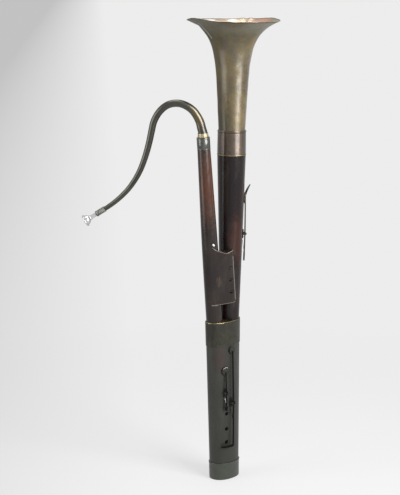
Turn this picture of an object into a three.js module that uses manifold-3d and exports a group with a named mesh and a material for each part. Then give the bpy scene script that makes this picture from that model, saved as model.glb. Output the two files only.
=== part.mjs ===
// Upright serpent bass horn: oval butt, wing joint with crook and mouthpiece, bass joint with flared bell,
// three keys. Millimetres, +Z up. The origin is the centre of the flat foot. X runs along the oval from the
// wing side to the bass side, and -Y is the front, where the finger holes are.

import * as THREE from 'three';
import { mergeVertices } from 'three/addons/utils/BufferGeometryUtils.js';
import Module from 'manifold-3d';

const wasm = await Module();
wasm.setup();

// Driving sizes, shared by several pieces
const clearance = 0.3;
const cutOverrun = 3;
const weld = 0.0005;
const lappingThickness = 0.8;
const lappingEnd = 3;
const bandThickness = 0.9;
const roundSides = 28;
const smallSides = 12;
const arcSteps = 8;

// Wing joint
const wingLean = THREE.MathUtils.degToRad(-4.87);
const wingLength = 454;
const wingFootRadius = 20;
const wingShoulderWidth = 3.6;
const wingMiddleRadius = 19.3;
const wingMiddleHeight = 196;
const wingTopRadius = 15.4;
const wingTenonLength = 30;
const wingTenonWall = 3;
const wingTopBore = 8.8;
const wingFerruleHeight = 28;
const wingFerruleRadius = 15.7;
const crookSocketDepth = 32;
const crookSocketWall = 3.7;

// Bass joint
const bassLean = THREE.MathUtils.degToRad(0.64);
const bassLength = 457;
const bassFootRadius = 23.2;
const bassShoulderWidth = 3.9;
const bassSleeveRadius = 34.3;
const bassTopRadius = 33.9;
const bassTenonLength = 32;
const bassTenonWall = 3.3;
const bassTopBore = 24;
const sleeveHeight = 52;
const sleeveThickness = 1.1;
const sleeveRingHeight = 2;
const sleeveRingProud = 0.6;
const bellSocketDepth = 34;
const bellSocketWall = 2.5;

// Butt: an oval block whose long axis grows towards the top, where both joints stand in shallow seats
const buttHeight = 402;
const footHalfLength = 40;
const buttSideWall = 4.6;
const wingSideRim = 1.9;
const bassSideRim = 2.9;
const jointGap = 8.2;
const shoulderShift = -7;
const seatDepth = 2;
const ferruleHeight = 60;
const capHeight = 43;
const capFloor = 1.5;
const capBeadHeight = 2.2;
const capBeadProud = 0.7;
const corkThickness = 10;
const turnHeight = 33;
const footWall = 6.3;
const downFootBore = 13.2;
const upFootBore = 14.8;
const ovalSides = 48;
const ovalPower = 2.2;

// Finger holes of the right hand, in the butt: heights are shares of the butt's height
const rightHoleHeightShares = [0.425, 0.328, 0.244];
const rightHoleX = -18;
const rightHoleRadius = 4.5;
const rightHoleSlant = 10;

// Flange of the wing joint, which lies in front of the bass joint
const flangeReach = 49;
const flangeThickness = 6.3;
const flangeFoot = 47;
const flangeFootRise = -3.5;
const flangeFootCorner = 7;
const flangeTop = 170.5;
const flangeShoulder = 22.5;
const flangeBack = 6;
const flangeGap = 1;
const leftHoleRadius = 4;
const leftHoleInset = 11.5;
const leftHoleDrop = 68;
const leftHoleSpacing = 29.6;
const leftHoleFan = 8;

// Crook
const crookTurn = THREE.MathUtils.degToRad(136);
const crookReach = 250.5;
const crookRise = 83.5;
const crookDrop = 161.7;
const crookBaseRadius = 11.2;
const crookArchRadius = 8.75;
const crookEndRadius = 5.4;
const crookTenonLength = 30;
const crookTenonWall = 1;
const crookWallShare = 0.1;
const crookSteps = 32;
const collarHeight = 10;
const collarThickness = 0.8;
const collarBead = 0.5;
const receiverLength = 24;
const receiverOverlap = 9;
const receiverWall = 0.7;

// Mouthpiece
const mouthpieceShown = 32;
const shankInserted = 12;
const shankTipRadius = 3.3;
const shankMouthRadius = 3.8;
const shankWall = 0.9;
const cupLength = 14;
const rimRadius = 14.2;
const throatRadius = 2.2;

// Bell
const bellLength = 262.7;
const bellStep = 2.3;
const bellTaper = 0.047;
const bellFlare = 66;
const bellFlareLength = 31;
const bellWall = 1.1;
const bellRings = 15;
const bellSides = 40;
const beadHeight = 5;
const beadProud = 2.6;
const bellTenonWall = 1;
const bellTenonGrip = 18;

// What all three keys share
const leverThickness = 2.4;
const flapThickness = 2;
const padThickness = 2.6;
const padInset = 1.5;
const pinRadius = 1.1;
const bossRadius = 3.4;
const bossHalfWidth = 2.9;
const earThickness = 1.8;
const saddleLength = 22;
const saddlePlate = 1.5;
const screwShankRadius = 0.9;
const screwLength = 8;
const screwHeadRadius = 2;
const screwHeadHeight = 1.2;
const screwInset = 3.2;
const springThickness = 0.5;
const springWidth = 3;
const springTip = 14;

// Key A: short, with a round flap. Its flap's place is measured down from the butt ferrule.
const keyA = {
  x: -24,
  flapDrop: 62,
  flapReach: 55,
  flapRadius: 10,
  flapStretch: 0,
  flapSeat: 0.8,
  toneHoleRadius: 5.5,
  pivotLift: 7.6,
  shankWidth: 3.6,
  touchReach: 38,
  touchRadius: 3.6,
  touchStretch: 3,
  springReach: 30,
};

// Key B: long, with a touch that turns in below the last finger hole
const keyB = {
  x: -5,
  flapDrop: 12,
  flapReach: 133,
  flapRadius: 9,
  flapStretch: 0,
  flapSeat: 0.6,
  toneHoleRadius: 5,
  pivotLift: 8.6,
  shankWidth: 4.4,
  touchReach: 108,
  touchRadius: 3,
  touchStretch: 0,
  springReach: 40,
};
const touchBarEndShare = -0.74;
const touchBarSteps = 10;

// Thumb key, on the bass joint's right side
const keyThumb = {
  pivotHeight: 210,
  flapReach: 87,
  flapRadius: 10,
  flapStretch: 3.5,
  flapSeat: 1.6,
  toneHoleRadius: 6.5,
  pivotLift: 6.6,
  shankWidth: 4.2,
  touchReach: 54,
  touchRadius: 4.4,
  touchStretch: 9,
  springReach: 36,
};
const thumbTurn = THREE.MathUtils.degToRad(-32);
const leafLength = 22;
const leafRise = 11;
const leafWidth = 11;
const leafSteps = 6;

// Sizes that follow from the ones above
const wingTenonRadius = wingFootRadius - wingShoulderWidth;
const wingFootBore = wingTenonRadius - wingTenonWall;
const bassTenonRadius = bassFootRadius - bassShoulderWidth;
const bassFootBore = bassTenonRadius - bassTenonWall;
const socketFit = lappingThickness + 2 * clearance;
const underWingFerrule = wingFerruleRadius - bandThickness - clearance;
const crookSocketRadius = underWingFerrule - crookSocketWall;
const crookTenonRadius = crookSocketRadius - socketFit;
const underSleeve = bassTopRadius - sleeveThickness - clearance;
const bellSocketRadius = underSleeve - bellSocketWall;
const bellTenonRadius = bellSocketRadius - socketFit;
const buttHalfWidth = bassFootRadius + buttSideWall;
const shoulderHalfLength = (wingSideRim + bassSideRim + jointGap) / 2 + wingFootRadius + bassFootRadius;
const wingX = shoulderShift - shoulderHalfLength + wingSideRim + wingFootRadius;
const bassX = shoulderShift + shoulderHalfLength - bassSideRim - bassFootRadius;
const seatHeight = buttHeight - seatDepth;
const ferruleFoot = buttHeight - ferruleHeight;
const woodFoot = capFloor + clearance;
const flangeFront = bassFootRadius + flangeThickness;
const saddleHalfWidth = bossHalfWidth + clearance + earThickness;

// Materials
function finish(color, roughness, metalness) {
  return new THREE.MeshStandardMaterial({ color, roughness, metalness });
}
const darkWood = finish(0x1d1a17, 0.35, 0);
const redWood = finish(0x2c1712, 0.3, 0);
const oldBrass = finish(0x5b5335, 0.4, 0.85);
const brightBrass = finish(0xc9a960, 0.25, 0.95);
const copperBrown = finish(0x4b3528, 0.4, 0.8);
const silver = finish(0xd8dadc, 0.15, 1);
const darkMetal = finish(0x2b2820, 0.5, 0.8);
const steel = finish(0x4c4d50, 0.35, 0.9);
const leather = finish(0x6f5136, 0.8, 0);
const cork = finish(0x8d6a45, 0.9, 0);
const thread = finish(0x7c2f26, 0.9, 0);

function vec(x, y, z) {
  return new THREE.Vector3(x, y, z);
}

// A closed mesh as a solid, for joining and cutting
function solidOf(geometry) {
  const bare = geometry.clone();
  bare.deleteAttribute('normal');
  bare.deleteAttribute('uv');
  const merged = mergeVertices(bare, weld);
  const corners = merged.index.array;
  const triangles = [];
  for (let i = 0; i < corners.length; i += 3) {
    const [a, b, c] = corners.slice(i, i + 3);
    if (a !== b && b !== c && c !== a) triangles.push(a, b, c);
  }
  return new wasm.Manifold(new wasm.Mesh({
    numProp: 3,
    vertProperties: merged.attributes.position.array,
    triVerts: new Uint32Array(triangles),
  }));
}

function geometryOf(solid) {
  const mesh = solid.getMesh();
  const geometry = new THREE.BufferGeometry();
  geometry.setAttribute('position', new THREE.BufferAttribute(new Float32Array(mesh.vertProperties), 3));
  geometry.setIndex(new THREE.BufferAttribute(new Uint32Array(mesh.triVerts), 1));
  geometry.computeVertexNormals();
  return geometry;
}

function join(shapes) {
  return shapes.map(solidOf).reduce((whole, part) => whole.add(part));
}

function cut(solid, cutters) {
  return cutters.map(solidOf).reduce((rest, cutter) => rest.subtract(cutter), solid);
}

// A form turned round Z, from a closed outline of [radius, height] points
function turned(outline, sides = roundSides) {
  const area = outline.reduce((sum, [radius, height], i) => {
    const [nextRadius, nextHeight] = outline[(i + 1) % outline.length];
    return sum + radius * nextHeight - nextRadius * height;
  }, 0);
  const ordered = area > 0 ? outline : [...outline].reverse();
  const points = [...ordered, ordered[0]].map(([radius, height]) => new THREE.Vector2(radius, height));
  return new THREE.LatheGeometry(points, sides).rotateX(Math.PI / 2);
}

// A straight tube's outline between two heights
function ring(inside, outside, bottom, top) {
  return turned([[inside, bottom], [outside, bottom], [outside, top], [inside, top]]);
}

// A round bar between two points
function bar(from, to, radius, sides = smallSides, endRadius = radius) {
  const along = new THREE.Vector3().subVectors(to, from);
  const tilt = new THREE.Quaternion().setFromUnitVectors(vec(0, 1, 0), along.clone().normalize());
  const middle = new THREE.Vector3().addVectors(from, to).multiplyScalar(0.5);
  const geometry = new THREE.CylinderGeometry(endRadius, radius, along.length(), sides);
  return geometry.applyQuaternion(tilt).translate(middle.x, middle.y, middle.z);
}

// A bar for cutting, which starts outside the wood by the overrun
function drill(from, to, radius, sides = smallSides, endRadius = radius) {
  const outside = new THREE.Vector3().subVectors(from, to).setLength(cutOverrun).add(from);
  return bar(outside, to, radius, sides, endRadius);
}

// The butt's oval, a little squarer than an ellipse: half its length, its middle and its front at a height
function ovalHalfLength(z) {
  return footHalfLength + (shoulderHalfLength - footHalfLength) * z / buttHeight;
}

function ovalMiddle(z) {
  return shoulderShift * z / buttHeight;
}

function ovalShare(x, z) {
  return (x - ovalMiddle(z)) / ovalHalfLength(z);
}

function ovalFront(x, z) {
  return -buttHalfWidth * (1 - Math.abs(ovalShare(x, z)) ** ovalPower) ** (1 / ovalPower);
}

function ovalOutward(x, z) {
  const across = ovalShare(x, z);
  const outX = Math.sign(across) * Math.abs(across) ** (ovalPower - 1) / ovalHalfLength(z);
  const outY = Math.abs(ovalFront(x, z) / buttHalfWidth) ** (ovalPower - 1) / buttHalfWidth;
  return vec(outX, -outY, 0).normalize();
}

// The oval between two heights, grown outwards by an offset
function ovalColumn(bottom, top, offset) {
  const geometry = new THREE.CylinderGeometry(1, 1, top - bottom, ovalSides).rotateX(Math.PI / 2);
  const place = geometry.attributes.position;
  const squared = (value) => Math.sign(value) * Math.abs(value) ** (2 / ovalPower);
  for (let i = 0; i < place.count; i += 1) {
    const z = place.getZ(i) + (top + bottom) / 2;
    const x = ovalMiddle(z) + squared(place.getX(i)) * (ovalHalfLength(z) + offset);
    place.setXYZ(i, x, squared(place.getY(i)) * (buttHalfWidth + offset), z);
  }
  return geometry;
}

// Frames of the two joints: Z is the tube's axis, and zero is where its shoulder sits on the butt
const horn = new THREE.Group();

function jointFrame(x, lean) {
  const group = new THREE.Group();
  group.position.set(x, 0, seatHeight);
  group.rotation.y = lean;
  group.updateMatrixWorld(true);
  horn.add(group);
  return group;
}

const wingFrame = jointFrame(wingX, wingLean);
const bassFrame = jointFrame(bassX, bassLean);

function inWorld(group, point) {
  return point.applyMatrix4(group.matrixWorld);
}

function piece(name, shape, material, parent = horn) {
  const geometry = shape instanceof THREE.BufferGeometry ? shape : geometryOf(shape);
  const mesh = new THREE.Mesh(geometry, material);
  mesh.name = name;
  parent.add(mesh);
}

// Thread wound on a tenon that ends at a shoulder
function lapping(name, tenonRadius, tenonLength, parent, shoulder = 0) {
  const inside = tenonRadius + clearance;
  const bottom = shoulder - tenonLength + lappingEnd;
  piece(name, ring(inside, inside + lappingThickness, bottom, shoulder - lappingEnd), thread, parent);
}

// Frame of a key: Z runs along the lever towards the flap, X across it, and -Y away from the wood
function keyFrame(origin, outward, along, parent) {
  const group = new THREE.Group();
  const inward = outward.clone().negate().normalize();
  const up = along.clone().addScaledVector(inward, -along.dot(inward)).normalize();
  const across = new THREE.Vector3().crossVectors(inward, up);
  group.quaternion.setFromRotationMatrix(new THREE.Matrix4().makeBasis(across, inward, up));
  group.position.copy(origin);
  parent.add(group);
  group.updateMatrixWorld(true);
  return group;
}

function buttKeyFrame(key) {
  const z = ferruleFoot - key.flapDrop - key.flapReach;
  return keyFrame(vec(key.x, ovalFront(key.x, z), z), ovalOutward(key.x, z), vec(0, 0, 1), horn);
}

const bassSlope = (bassSleeveRadius - bassFootRadius) / (bassLength - sleeveHeight);

function bassRadius(height) {
  return bassFootRadius + bassSlope * height;
}

function thumbKeyFrame() {
  const out = vec(Math.cos(thumbTurn), Math.sin(thumbTurn), 0);
  const origin = out.clone().multiplyScalar(bassRadius(keyThumb.pivotHeight)).setZ(keyThumb.pivotHeight);
  const along = out.clone().multiplyScalar(bassSlope).setZ(1);
  const outward = out.clone().setZ(-bassSlope);
  return keyFrame(origin, outward, along, bassFrame);
}

const frameA = buttKeyFrame(keyA);
const frameB = buttKeyFrame(keyB);
const frameThumb = thumbKeyFrame();

// A plate cut to a side outline of [along, lift] points, centred across the lever
function sidePlate(outline, width) {
  const shape = new THREE.Shape(outline.map(([along, lift]) => new THREE.Vector2(along, lift)));
  const geometry = new THREE.ExtrudeGeometry(shape, { depth: width, bevelEnabled: false });
  const upright = new THREE.Matrix4().makeBasis(vec(0, 0, 1), vec(0, -1, 0), vec(1, 0, 0));
  return geometry.translate(0, 0, -width / 2).applyMatrix4(upright);
}

// A strip of even thickness whose middle line passes through [along, lift] points
function strip(path, thickness, width) {
  const upper = path.map(([along, lift]) => [along, lift + thickness / 2]);
  const lower = path.map(([along, lift]) => [along, lift - thickness / 2]);
  return sidePlate([...upper, ...lower.reverse()], width);
}

// A round or oblong disc on the lever's line, between two lifts
function disc(along, radius, stretch, low, high) {
  const shape = new THREE.Shape();
  shape.absarc(0, stretch, radius, 0, Math.PI, false);
  shape.absarc(0, -stretch, radius, Math.PI, 2 * Math.PI, false);
  const depth = high - low;
  const geometry = new THREE.ExtrudeGeometry(shape, { depth, bevelEnabled: false, curveSegments: arcSteps });
  return geometry.rotateX(Math.PI / 2).translate(0, -low, along);
}

// A round bar across the lever
function crossBar(along, lift, radius, halfWidth) {
  return bar(vec(-halfWidth, -lift, along), vec(halfWidth, -lift, along), radius);
}

function pinHole(key) {
  return crossBar(0, key.pivotLift, pinRadius + clearance, saddleHalfWidth + cutOverrun);
}

function padFoot(key) {
  return clearance - key.flapSeat;
}

function flapFoot(key) {
  return padFoot(key) + padThickness + clearance;
}

function leverShapes(key) {
  const flapFace = flapFoot(key) + flapThickness;
  const nearEdge = key.flapReach - key.flapRadius - key.flapStretch;
  const path = [
    [key.flapReach + key.flapStretch + key.flapRadius / 2, flapFace],
    [nearEdge, flapFace],
    [bossRadius, key.pivotLift],
    [-key.touchReach, key.pivotLift],
  ];
  const touchLow = key.pivotLift - leverThickness / 2;
  return [
    strip(path, leverThickness, key.shankWidth),
    disc(key.flapReach, key.flapRadius, key.flapStretch, flapFoot(key), flapFace),
    disc(-key.touchReach, key.touchRadius, key.touchStretch, touchLow, touchLow + leverThickness),
    crossBar(0, key.pivotLift, bossRadius, bossHalfWidth),
  ];
}

function screwHole(along) {
  const outside = -clearance - saddlePlate - cutOverrun;
  return bar(vec(0, outside, along), vec(0, screwLength + clearance, along), screwShankRadius + clearance);
}

const screwReach = saddleLength / 2 - screwInset;
const screwPlaces = [-screwReach, screwReach];

function saddleSolid(key) {
  const half = saddleLength / 2;
  const face = clearance + saddlePlate;
  const plateOutline = [[-half, clearance], [half, clearance], [half, face], [-half, face]];
  const plate = sidePlate(plateOutline, 2 * saddleHalfWidth);
  const ears = [-1, 1].flatMap((side) => {
    const middle = side * (saddleHalfWidth - earThickness / 2);
    const wall = sidePlate([
      [-bossRadius, clearance],
      [bossRadius, clearance],
      [bossRadius, key.pivotLift],
      [-bossRadius, key.pivotLift],
    ], earThickness);
    const top = crossBar(0, key.pivotLift, bossRadius, earThickness / 2);
    return [wall.translate(middle, 0, 0), top.translate(middle, 0, 0)];
  });
  return cut(join([plate, ...ears]), [pinHole(key), ...screwPlaces.map(screwHole)]);
}

function screwSolid(along) {
  const headFoot = 2 * clearance + saddlePlate;
  const headTop = headFoot + screwHeadHeight;
  return join([
    bar(vec(0, screwLength - headTop, along), vec(0, -headTop + screwHeadHeight / 2, along), screwShankRadius),
    bar(vec(0, -headFoot, along), vec(0, -headTop, along), screwHeadRadius),
  ]);
}

// The flat spring is riveted under the lever and rubs on the wood
function springShape(key) {
  const rivetLift = key.pivotLift - (leverThickness + springThickness) / 2 - clearance;
  const tipLift = clearance + springThickness / 2;
  return strip([
    [-key.springReach - springWidth, rivetLift],
    [-key.springReach, rivetLift],
    [-(key.springReach + springTip) / 2, (rivetLift + tipLift) / 2],
    [-springTip, tipLift],
  ], springThickness, springWidth);
}

// What a key needs in the wood: a flat seat for the pad, screw holes, and a tone hole that leads to the bore
function keyCuts(frame, key, target) {
  const seat = disc(key.flapReach, key.flapRadius + clearance, key.flapStretch, -key.flapSeat, key.pivotLift);
  const mouth = inWorld(frame, vec(0, 0, key.flapReach));
  return [
    ...[seat, ...screwPlaces.map(screwHole)].map((shape) => shape.applyMatrix4(frame.matrixWorld)),
    drill(mouth, target, key.toneHoleRadius),
  ];
}

function buildKey(name, key, frame, material, extras = []) {
  piece(name, cut(join([...leverShapes(key), ...extras]), [pinHole(key)]), material, frame);
  piece(`${name}_pad`, disc(key.flapReach, key.flapRadius - padInset, key.flapStretch, padFoot(key),
    padFoot(key) + padThickness), leather, frame);
  piece(`${name}_pin`, crossBar(0, key.pivotLift, pinRadius, saddleHalfWidth), steel, frame);
  piece(`${name}_saddle`, saddleSolid(key), oldBrass, frame);
  screwPlaces.forEach((along, i) => piece(`${name}_screw_${i + 1}`, screwSolid(along), steel, frame));
  piece(`${name}_spring`, springShape(key), steel, frame);
}

// Bores of the butt: each runs straight from its socket's floor to the turn at the foot
const turnTop = woodFoot + turnHeight;
const boreFootZ = (woodFoot + corkThickness + turnTop) / 2;
const wingSocketFloor = inWorld(wingFrame, vec(0, 0, -wingTenonLength - clearance));
const bassSocketFloor = inWorld(bassFrame, vec(0, 0, -bassTenonLength - clearance));
const downFoot = vec(-(footHalfLength - footWall - downFootBore), 0, boreFootZ);
const upFoot = vec(bassX + Math.tan(bassLean) * (boreFootZ - seatHeight), 0, boreFootZ);

function boreMiddle(foot, top, z) {
  return new THREE.Vector3().lerpVectors(foot, top, (z - foot.z) / (top.z - foot.z));
}

// The turn that joins both bores: straight sides and round ends
function footTurn(bottom, top, shrink) {
  const radius = downFootBore - shrink;
  const shape = new THREE.Shape();
  shape.absarc(upFoot.x, 0, radius, -Math.PI / 2, Math.PI / 2, false);
  shape.absarc(downFoot.x, 0, radius, Math.PI / 2, 3 * Math.PI / 2, false);
  const depth = top - bottom;
  const geometry = new THREE.ExtrudeGeometry(shape, { depth, bevelEnabled: false, curveSegments: arcSteps });
  return geometry.translate(0, 0, bottom);
}

// Socket for a tenon, and the shallow seat for the shoulder above it
function jointCuts(frame, tenonLength, tenonRadius, footRadius) {
  const seatFloor = vec(0, 0, -clearance);
  const socket = drill(seatFloor, vec(0, 0, -tenonLength - clearance), tenonRadius + socketFit, roundSides);
  const above = vec(0, 0, seatDepth + cutOverrun);
  const seat = bar(seatFloor, above, footRadius + clearance, roundSides);
  return [socket, seat].map((shape) => shape.applyMatrix4(frame.matrixWorld));
}

function buildButt() {
  const fingerHoles = rightHoleHeightShares.map((heightShare) => {
    const z = heightShare * buttHeight;
    const target = boreMiddle(downFoot, wingSocketFloor, z - rightHoleSlant);
    return drill(vec(rightHoleX, ovalFront(rightHoleX, z), z), target, rightHoleRadius);
  });
  piece('butt_joint', cut(solidOf(ovalColumn(woodFoot, buttHeight, 0)), [
    drill(wingSocketFloor, downFoot, wingFootBore, roundSides, downFootBore),
    drill(bassSocketFloor, upFoot, bassFootBore, roundSides, upFootBore),
    footTurn(woodFoot - cutOverrun, turnTop, 0),
    ...jointCuts(wingFrame, wingTenonLength, wingTenonRadius, wingFootRadius),
    ...jointCuts(bassFrame, bassTenonLength, bassTenonRadius, bassFootRadius),
    ...fingerHoles,
    ...keyCuts(frameA, keyA, boreMiddle(downFoot, wingSocketFloor, ferruleFoot - keyA.flapDrop)),
    ...keyCuts(frameB, keyB, boreMiddle(upFoot, bassSocketFloor, ferruleFoot - keyB.flapDrop)),
  ]), darkWood);

  const bandFace = clearance + bandThickness;
  piece('butt_ferrule', cut(solidOf(ovalColumn(ferruleFoot, buttHeight, bandFace)), [
    ovalColumn(ferruleFoot - cutOverrun, buttHeight + cutOverrun, clearance),
  ]), oldBrass);
  piece('butt_cap', cut(join([
    ovalColumn(0, capHeight, bandFace),
    ovalColumn(capHeight - capBeadHeight, capHeight, bandFace + capBeadProud),
  ]), [
    ovalColumn(capFloor, capHeight + cutOverrun, clearance),
  ]), oldBrass);
  piece('turn_cork', footTurn(woodFoot, woodFoot + corkThickness, clearance), cork);
}

// The flange is its plan, seen along the tube, met by its outline, seen from the front
function flangePlan() {
  const planShares = [
    [-0.22, 0.5], [-0.15, 0.64], [0, 0.75], [0.2, 0.83], [0.41, 0.9], [0.62, 0.96], [0.82, 1], [0.95, 1],
    [1, 0.96],
  ];
  const shape = new THREE.Shape([
    ...planShares.map(([reachShare, frontShare]) => (
      new THREE.Vector2(reachShare * flangeReach, -frontShare * flangeFront)
    )),
    new THREE.Vector2(flangeReach, 0),
    new THREE.Vector2(0, flangeBack),
  ]);
  return new THREE.ExtrudeGeometry(shape, { depth: flangeTop + flangeShoulder, bevelEnabled: false });
}

function flangeOutline() {
  const ledgeShares = [[1, 0.16], [0.75, 0.04], [0.57, 0], [0.28, 0.26], [0, 0.58], [-0.2, 1]];
  const foot = flangeFoot + flangeFootRise;
  const shape = new THREE.Shape();
  shape.moveTo(-wingFootRadius, flangeFoot);
  shape.lineTo(flangeReach - flangeFootCorner, foot);
  shape.quadraticCurveTo(flangeReach, foot, flangeReach, foot + flangeFootCorner);
  for (const [reachShare, shoulderShare] of ledgeShares) {
    shape.lineTo(reachShare * flangeReach, flangeTop + shoulderShare * flangeShoulder);
  }
  shape.lineTo(-wingFootRadius, flangeTop + flangeShoulder);
  const depth = 2 * (flangeFront + cutOverrun);
  const geometry = new THREE.ExtrudeGeometry(shape, { depth, bevelEnabled: false, curveSegments: arcSteps });
  return geometry.rotateX(Math.PI / 2).translate(0, depth / 2, 0);
}

// The bass joint's outside as the wing joint sees it, grown by the gap that the flange keeps from it
function bassNest() {
  const top = bassLength - sleeveHeight;
  const footGap = bassFootRadius + flangeGap;
  const nest = bar(vec(0, 0, 0), vec(0, 0, top), footGap, ovalSides, bassRadius(top) + flangeGap);
  return nest.applyMatrix4(wingFrame.matrixWorld.clone().invert().multiply(bassFrame.matrixWorld));
}

function buildWing() {
  const ferruleBottom = wingLength - wingFerruleHeight;
  const socketFloor = wingLength - crookSocketDepth;
  const tube = turned([
    [0, -wingTenonLength],
    [wingTenonRadius, -wingTenonLength],
    [wingTenonRadius, 0],
    [wingFootRadius, 0],
    [wingMiddleRadius, wingMiddleHeight],
    [wingTopRadius, ferruleBottom - clearance],
    [underWingFerrule, ferruleBottom - clearance],
    [underWingFerrule, wingLength],
    [0, wingLength],
  ]);
  const flange = solidOf(flangePlan()).intersect(solidOf(flangeOutline())).subtract(solidOf(bassNest()));
  const fingerHoles = [1, 0, -1].map((step) => {
    const height = flangeTop - leftHoleDrop + step * leftHoleSpacing;
    const mouth = vec(flangeReach - leftHoleInset, -flangeFront, height);
    return drill(mouth, vec(0, 0, height + step * leftHoleFan), leftHoleRadius);
  });
  const tenonEnd = vec(0, 0, -wingTenonLength);
  piece('wing_joint', cut(solidOf(tube).add(flange), [
    drill(tenonEnd, vec(0, 0, socketFloor), wingFootBore, roundSides, wingTopBore),
    drill(vec(0, 0, wingLength), vec(0, 0, socketFloor), crookSocketRadius, roundSides),
    ...fingerHoles,
  ]), redWood, wingFrame);
  const ferruleInside = underWingFerrule + clearance;
  piece('wing_ferrule', ring(ferruleInside, wingFerruleRadius, ferruleBottom, wingLength), oldBrass, wingFrame);
  lapping('wing_lapping', wingTenonRadius, wingTenonLength, wingFrame);
}

// Frame of the crook: it stands on the wing joint's top, and X points to the mouthpiece
const crookFrame = new THREE.Group();
crookFrame.position.set(0, 0, wingLength + clearance);
crookFrame.rotation.z = crookTurn;
wingFrame.add(crookFrame);

// Middle line of the crook: shares of its reach, and of its rise above or its drop below its foot
const crookLineShares = [
  [0, 0], [0, 0.12], [0.008, 0.24], [0.024, 0.463], [0.075, 0.753], [0.14, 0.919], [0.217, 1],
  [0.307, 0.971], [0.385, 0.81], [0.446, 0.541], [0.475, 0.265], [0.501, -0.006], [0.531, -0.149],
  [0.567, -0.292], [0.61, -0.435], [0.668, -0.576], [0.744, -0.717], [0.848, -0.855], [0.942, -0.951], [1, -1],
];

function crookCurve() {
  return new THREE.CatmullRomCurve3(crookLineShares.map(([reachShare, heightShare]) => (
    vec(reachShare * crookReach, 0, heightShare * (heightShare > 0 ? crookRise : crookDrop))
  )), false, 'centripetal');
}

const archShare = 0.24;

function crookRadius(share) {
  if (share < archShare) return THREE.MathUtils.lerp(crookBaseRadius, crookArchRadius, share / archShare);
  const past = (share - archShare) / (1 - archShare);
  return THREE.MathUtils.lerp(crookArchRadius, crookEndRadius, past ** 1.25);
}

// A tube of unit radius is swept along the line, then each ring is opened to its radius
function taperedTube(line, steps, radiusAt) {
  const shape = new THREE.Shape();
  shape.absarc(0, 0, 1, 0, 2 * Math.PI, false);
  const hole = new THREE.Path();
  hole.absarc(0, 0, 1 - crookWallShare, 0, 2 * Math.PI, true);
  shape.holes.push(hole);
  const geometry = new THREE.ExtrudeGeometry(shape, {
    steps,
    bevelEnabled: false,
    extrudePath: line,
    curveSegments: arcSteps,
  });
  const middles = line.getSpacedPoints(steps);
  const place = geometry.attributes.position;
  const point = vec(0, 0, 0);
  for (let i = 0; i < place.count; i += 1) {
    point.fromBufferAttribute(place, i);
    const distances = middles.map((middle) => middle.distanceTo(point));
    const step = distances.indexOf(Math.min(...distances));
    point.sub(middles[step]).multiplyScalar(radiusAt(step / steps)).add(middles[step]);
    place.setXYZ(i, point.x, point.y, point.z);
  }
  return geometry;
}

// Frame at the crook's end: Z points out of it, along the mouthpiece
const crookLine = crookCurve();
const endFrame = new THREE.Group();
endFrame.position.copy(crookLine.getPoint(1));
endFrame.quaternion.setFromUnitVectors(vec(0, 0, 1), crookLine.getTangent(1));
crookFrame.add(endFrame);
const receiverFace = receiverLength - receiverOverlap;
const shankTip = receiverFace - shankInserted;

function buildCrook() {
  const tenonBore = crookTenonRadius - crookTenonWall;
  piece('crook_tube', join([
    taperedTube(crookLine, crookSteps, crookRadius),
    ring(tenonBore, crookTenonRadius, -crookTenonLength, crookTenonWall),
    ring(tenonBore, crookBaseRadius, 0, crookTenonWall),
  ]), oldBrass, crookFrame);
  const inside = crookBaseRadius + clearance;
  const outside = inside + collarThickness;
  piece('crook_collar', turned([
    [inside, 0],
    [outside, 0],
    [outside + collarBead, collarHeight / 6],
    [outside + collarBead, collarHeight / 3],
    [outside, collarHeight / 2],
    [outside, collarHeight],
    [inside, collarHeight],
  ]), brightBrass, crookFrame);
  lapping('crook_lapping', crookTenonRadius, crookTenonLength, crookFrame);

  const tubeHole = crookEndRadius + 2 * clearance;
  const outer = tubeHole + receiverWall;
  piece('mouthpiece_receiver', turned([
    [tubeHole, -receiverOverlap],
    [outer, -receiverOverlap],
    [outer, receiverFace],
    [shankMouthRadius + clearance, receiverFace],
    [shankTipRadius + clearance, shankTip - clearance],
    [shankTipRadius - shankWall, shankTip - clearance],
    [shankTipRadius - shankWall, clearance],
    [tubeHole, clearance],
  ]), darkMetal, endFrame);
}

function buildMouthpiece() {
  const outsideShares = [[0.36, 0], [0.52, 0.12], [0.68, 0.3], [0.79, 0.52], [0.83, 0.7], [1, 0.78], [1, 0.9]];
  const insideShares = [[0.93, 1], [0.78, 1], [0.68, 0.9], [0.62, 0.68], [0.44, 0.36]];
  const cupFoot = receiverFace + mouthpieceShown - cupLength;
  const cupPoint = ([rimShare, lengthShare]) => [rimShare * rimRadius, cupFoot + lengthShare * cupLength];
  piece('mouthpiece', turned([
    [shankTipRadius - shankWall, shankTip],
    [shankTipRadius, shankTip],
    [shankMouthRadius, receiverFace],
    ...outsideShares.map(cupPoint),
    ...insideShares.map(cupPoint),
    [throatRadius, cupFoot],
  ]), silver, endFrame);
}

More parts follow.
